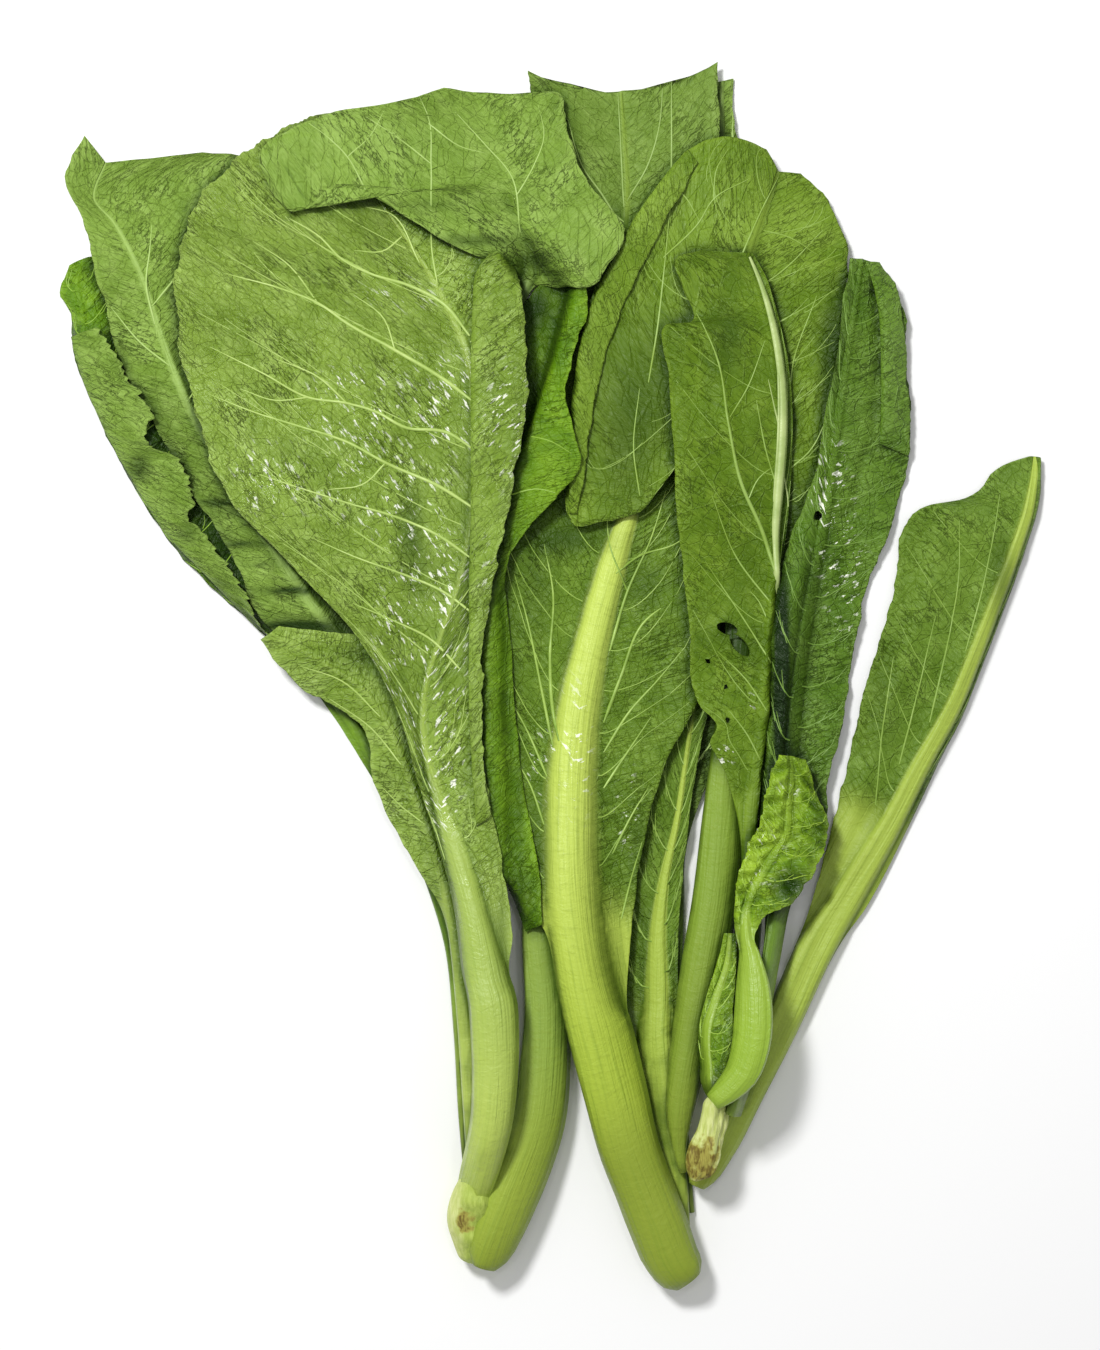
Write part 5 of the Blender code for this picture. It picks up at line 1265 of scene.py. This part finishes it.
# the leaves
print("leaves: drawing the rows and laying them on each other")
surfaces = {}
pile = Pile()
for seed, name in enumerate(layingOrder):
    if name in leafPlans:
        surface = leafSurface(name, seed)
        rest = smoothRows(heightOnSolid(surface), sheet["restSmoothing"])
        surface["z"] = rest + relief(surface, leafPlans[name], seed)
        surface["z"] = np.maximum(surface["z"], surface["below"])
    else:
        surface = flapSurface(name, seed)
        rest = smoothRows(pile.ground(surface["xy"]), sheet["marginSmoothing"])
        surface["z"] = rest + sheet["layerGap"] + surface["rise"]
    lift = pile.settle(surface)
    pile.add(surface)
    surfaces[name] = surface
    print("  ", name, surface["z"].shape, "lifted", round(float(lift.max()), 2), "mm, top at",
          round(float((surface["z"] + surface["above"]).max()), 1))

print("leaves: meshes, materials and veins")
materials = {look: leafMaterial("leaf_" + look, values) for look, values in leafLooks.items()}
veinMaterials = {look: veinMaterial("vein_" + look, values) for look, values in leafLooks.items()}
creamMaterial = veinMaterial("vein_cream", creamRib)
cords = veinTree()
for seed, name in enumerate(layingOrder):
    surface = surfaces[name]
    surface["shade"] = coverShade(surface, pile)
    plan = leafPlans.get(name) or flapPlans[name]
    piece = linked(name + "_skin", leafMesh(surface))
    piece.data.materials.append(materials[plan["look"]])
    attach(piece, "root")
    if name in flapPlans:
        continue
    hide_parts(name)
    paths = drawnVeins(surface, plan) if "veinLines" in plan else grownVeins(surface, plan["veins"], seed)
    if "fineVeins" in plan:
        paths += grownVeins(surface, plan["fineVeins"], seed)
    sets = [("_veins", paths, veinMaterials[plan["look"]])]
    if "creamLines" in plan:
        sets.append(("_midrib", drawnVeins(surface, {"veinLines": plan["creamLines"]}), creamMaterial))
    for ending, lines, material in sets:
        veins = veinPiece(name + ending, lines, cords, material)
        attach(veins, "root")

# the torn feet: x, y, height of the middle, half width and half height, from the stalks down
cutEnds = {
    "crown_left": {
        "path": [(-20.5, -159.0, 12.0, 3.0, 9.0), (-22.0, -164.5, 11.6, 5.0, 10.8), (-23.8, -170.5, 11.2, 6.6, 11.0),
                 (-25.6, -176.5, 10.6, 7.8, 10.5), (-26.4, -182.5, 9.6, 8.2, 9.6), (-25.6, -188.0, 8.6, 7.6, 8.5),
                 (-24.8, -193.5, 7.4, 6.6, 7.2), (-24.2, -198.3, 6.6, 5.4, 5.6)],
        "knobs": 0.25, "fibres": 0.12, "torn": (-28.6, -182.4, 3.4, 4.6), "greenFrom": -30.5},
    "crown_right": {
        "path": [(55.2, -139.5, 20.6, 4.0, 3.2), (54.6, -146.0, 20.4, 4.2, 3.5), (53.2, -152.0, 20.2, 4.4, 3.8),
                 (51.4, -158.0, 20.2, 5.4, 3.8), (49.6, -163.5, 20.0, 4.8, 3.2), (47.6, -168.5, 19.6, 2.2, 1.6)],
        "knobs": 0.3, "fibres": 0.7, "torn": (49.6, -161.5, 6.5, 8.5), "greenFrom": 90.0},
}


footShape = {"rings": 60, "sides": 48, "roundEnd": 4.0, "lowest": 0.05}


def footMesh(name, foot):
    # a tube with rounded ends, roughened by knobs and by fibres that run along it
    rings, sides = footShape["rings"], footShape["sides"]
    path = np.array(foot["path"])
    steps = np.concatenate([[0], np.cumsum(np.linalg.norm(np.diff(path[:, :2], axis=0), axis=1))])
    wanted = steps[-1] * (1 - np.cos(np.linspace(0, math.pi, rings))) / 2
    rows = curveThrough(steps, path, wanted)
    ahead = np.gradient(rows[:, :2], axis=0)
    ahead /= np.linalg.norm(ahead, axis=1)[:, None]
    angles = np.linspace(0, 2 * math.pi, sides, endpoint=False)
    nearEnd = np.clip(np.minimum(wanted, steps[-1] - wanted) / footShape["roundEnd"], 0, 1)
    rounded = np.sqrt(np.clip(1 - (1 - nearEnd) ** 2, 0.01, 1))[:, None]
    ring = np.stack([np.cos(angles), np.sin(angles)], axis=1)
    turned, along = np.meshgrid(angles, wanted)
    fibre = wobble(np.dstack([turned * 3.2, along / 9]), 1.0, 3)
    lump = wobble(np.dstack([turned * 1.2, along / 4]), 1.0, 5)
    seam = np.cos(angles / 2)[None, :] ** 8
    grow = 1 + (fibre * foot["fibres"] + lump * foot["knobs"]) * (1 - seam) * 0.5
    wide = rows[:, 3:4] * rounded * grow * ring[None, :, 0]
    high = rows[:, 4:5] * rounded * grow * ring[None, :, 1]
    points = np.zeros((rings, sides, 3))
    points[..., 0] = rows[:, 0:1] + drawingShift[0] + wide * ahead[:, 1:2]
    points[..., 1] = rows[:, 1:2] + drawingShift[1] - wide * ahead[:, 0:1]
    points[..., 2] = np.maximum(rows[:, 2:3] + high, footShape["lowest"])
    i, j = np.meshgrid(np.arange(rings - 1), np.arange(sides), indexing="ij")
    a, b = (i * sides + j).ravel(), (i * sides + (j + 1) % sides).ravel()
    faces = np.stack([a, b, b + sides, a + sides], axis=1).tolist()
    faces += [list(range(sides - 1, -1, -1)), list(range((rings - 1) * sides, rings * sides))]
    mesh = bpy.data.meshes.new(name + "_foot")
    mesh.from_pydata((points.reshape(-1, 3) * mm).tolist(), [], faces)
    cleaned = bmesh.new()
    cleaned.from_mesh(mesh)
    bmesh.ops.recalc_face_normals(cleaned, faces=cleaned.faces)
    cleaned.to_mesh(mesh)
    cleaned.free()
    mesh.shade_smooth()
    return mesh


print("torn feet")
for name, foot in cutEnds.items():
    piece = linked(name + "_flesh", footMesh(name, foot))
    piece.data.materials.append(cutMaterial(name + "_torn", foot))
    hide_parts(name)
    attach(piece, "root")

# the room: a pale floor, soft light, and the camera straight above
print("floor, light and camera")
room = {"floor": 6.0, "floorTone": 0.9, "sky": 0.42, "keyPower": 17.0, "keySize": 0.22,
        "lampPower": 0.9, "lampSize": 0.07, "lamps": [(0.08, 0.36, 1.5), (-0.3, 0.1, 1.5), (0.3, -0.05, 1.45)],
        "keyPlace": (-0.45, 0.6, 1.2), "lens": 85.0, "sensor": 36.0, "frameHeight": 0.45, "middleHeight": 0.018,
        "floorDepth": 0.0005}
bpy.ops.mesh.primitive_plane_add(size=room["floor"], location=(0, 0, -room["floorDepth"]))
floor = bpy.context.object
floor.name = "floor"
floorShading = Shading("floor_paper")
floorShading.shader.inputs["Base Color"].default_value = (room["floorTone"],) * 3 + (1.0,)
floorShading.shader.inputs["Roughness"].default_value = 0.8
floor.data.materials.append(floorShading.material)

world = bpy.data.worlds.new("soft_sky")
bpy.context.scene.world = world
world.use_nodes = True
sky = world.node_tree.nodes["Background"]
sky.inputs["Color"].default_value = (1.0, 1.0, 1.0, 1.0)
sky.inputs["Strength"].default_value = room["sky"]


def areaLight(name, place, power, size):
    light = bpy.data.lights.new(name, "AREA")
    light.energy = power
    light.size = size
    holder = linked(name, light)
    holder.location = place
    holder.rotation_euler = (-Vector(place)).to_track_quat("-Z", "Y").to_euler()


areaLight("key_light", room["keyPlace"], room["keyPower"], room["keySize"])
for index, place in enumerate(room["lamps"]):
    areaLight(f"lamp{index}", place, room["lampPower"], room["lampSize"])

camera = linked("camera", bpy.data.cameras.new("camera"))
camera.data.lens = room["lens"]
camera.data.sensor_width = room["sensor"]
distance = room["frameHeight"] * room["lens"] / room["sensor"]
camera.location = (drawingShift[0] * mm, drawingShift[1] * mm, room["middleHeight"] + distance)
bpy.context.scene.camera = camera
bpy.context.scene.view_settings.view_transform = "Standard"

print("done")
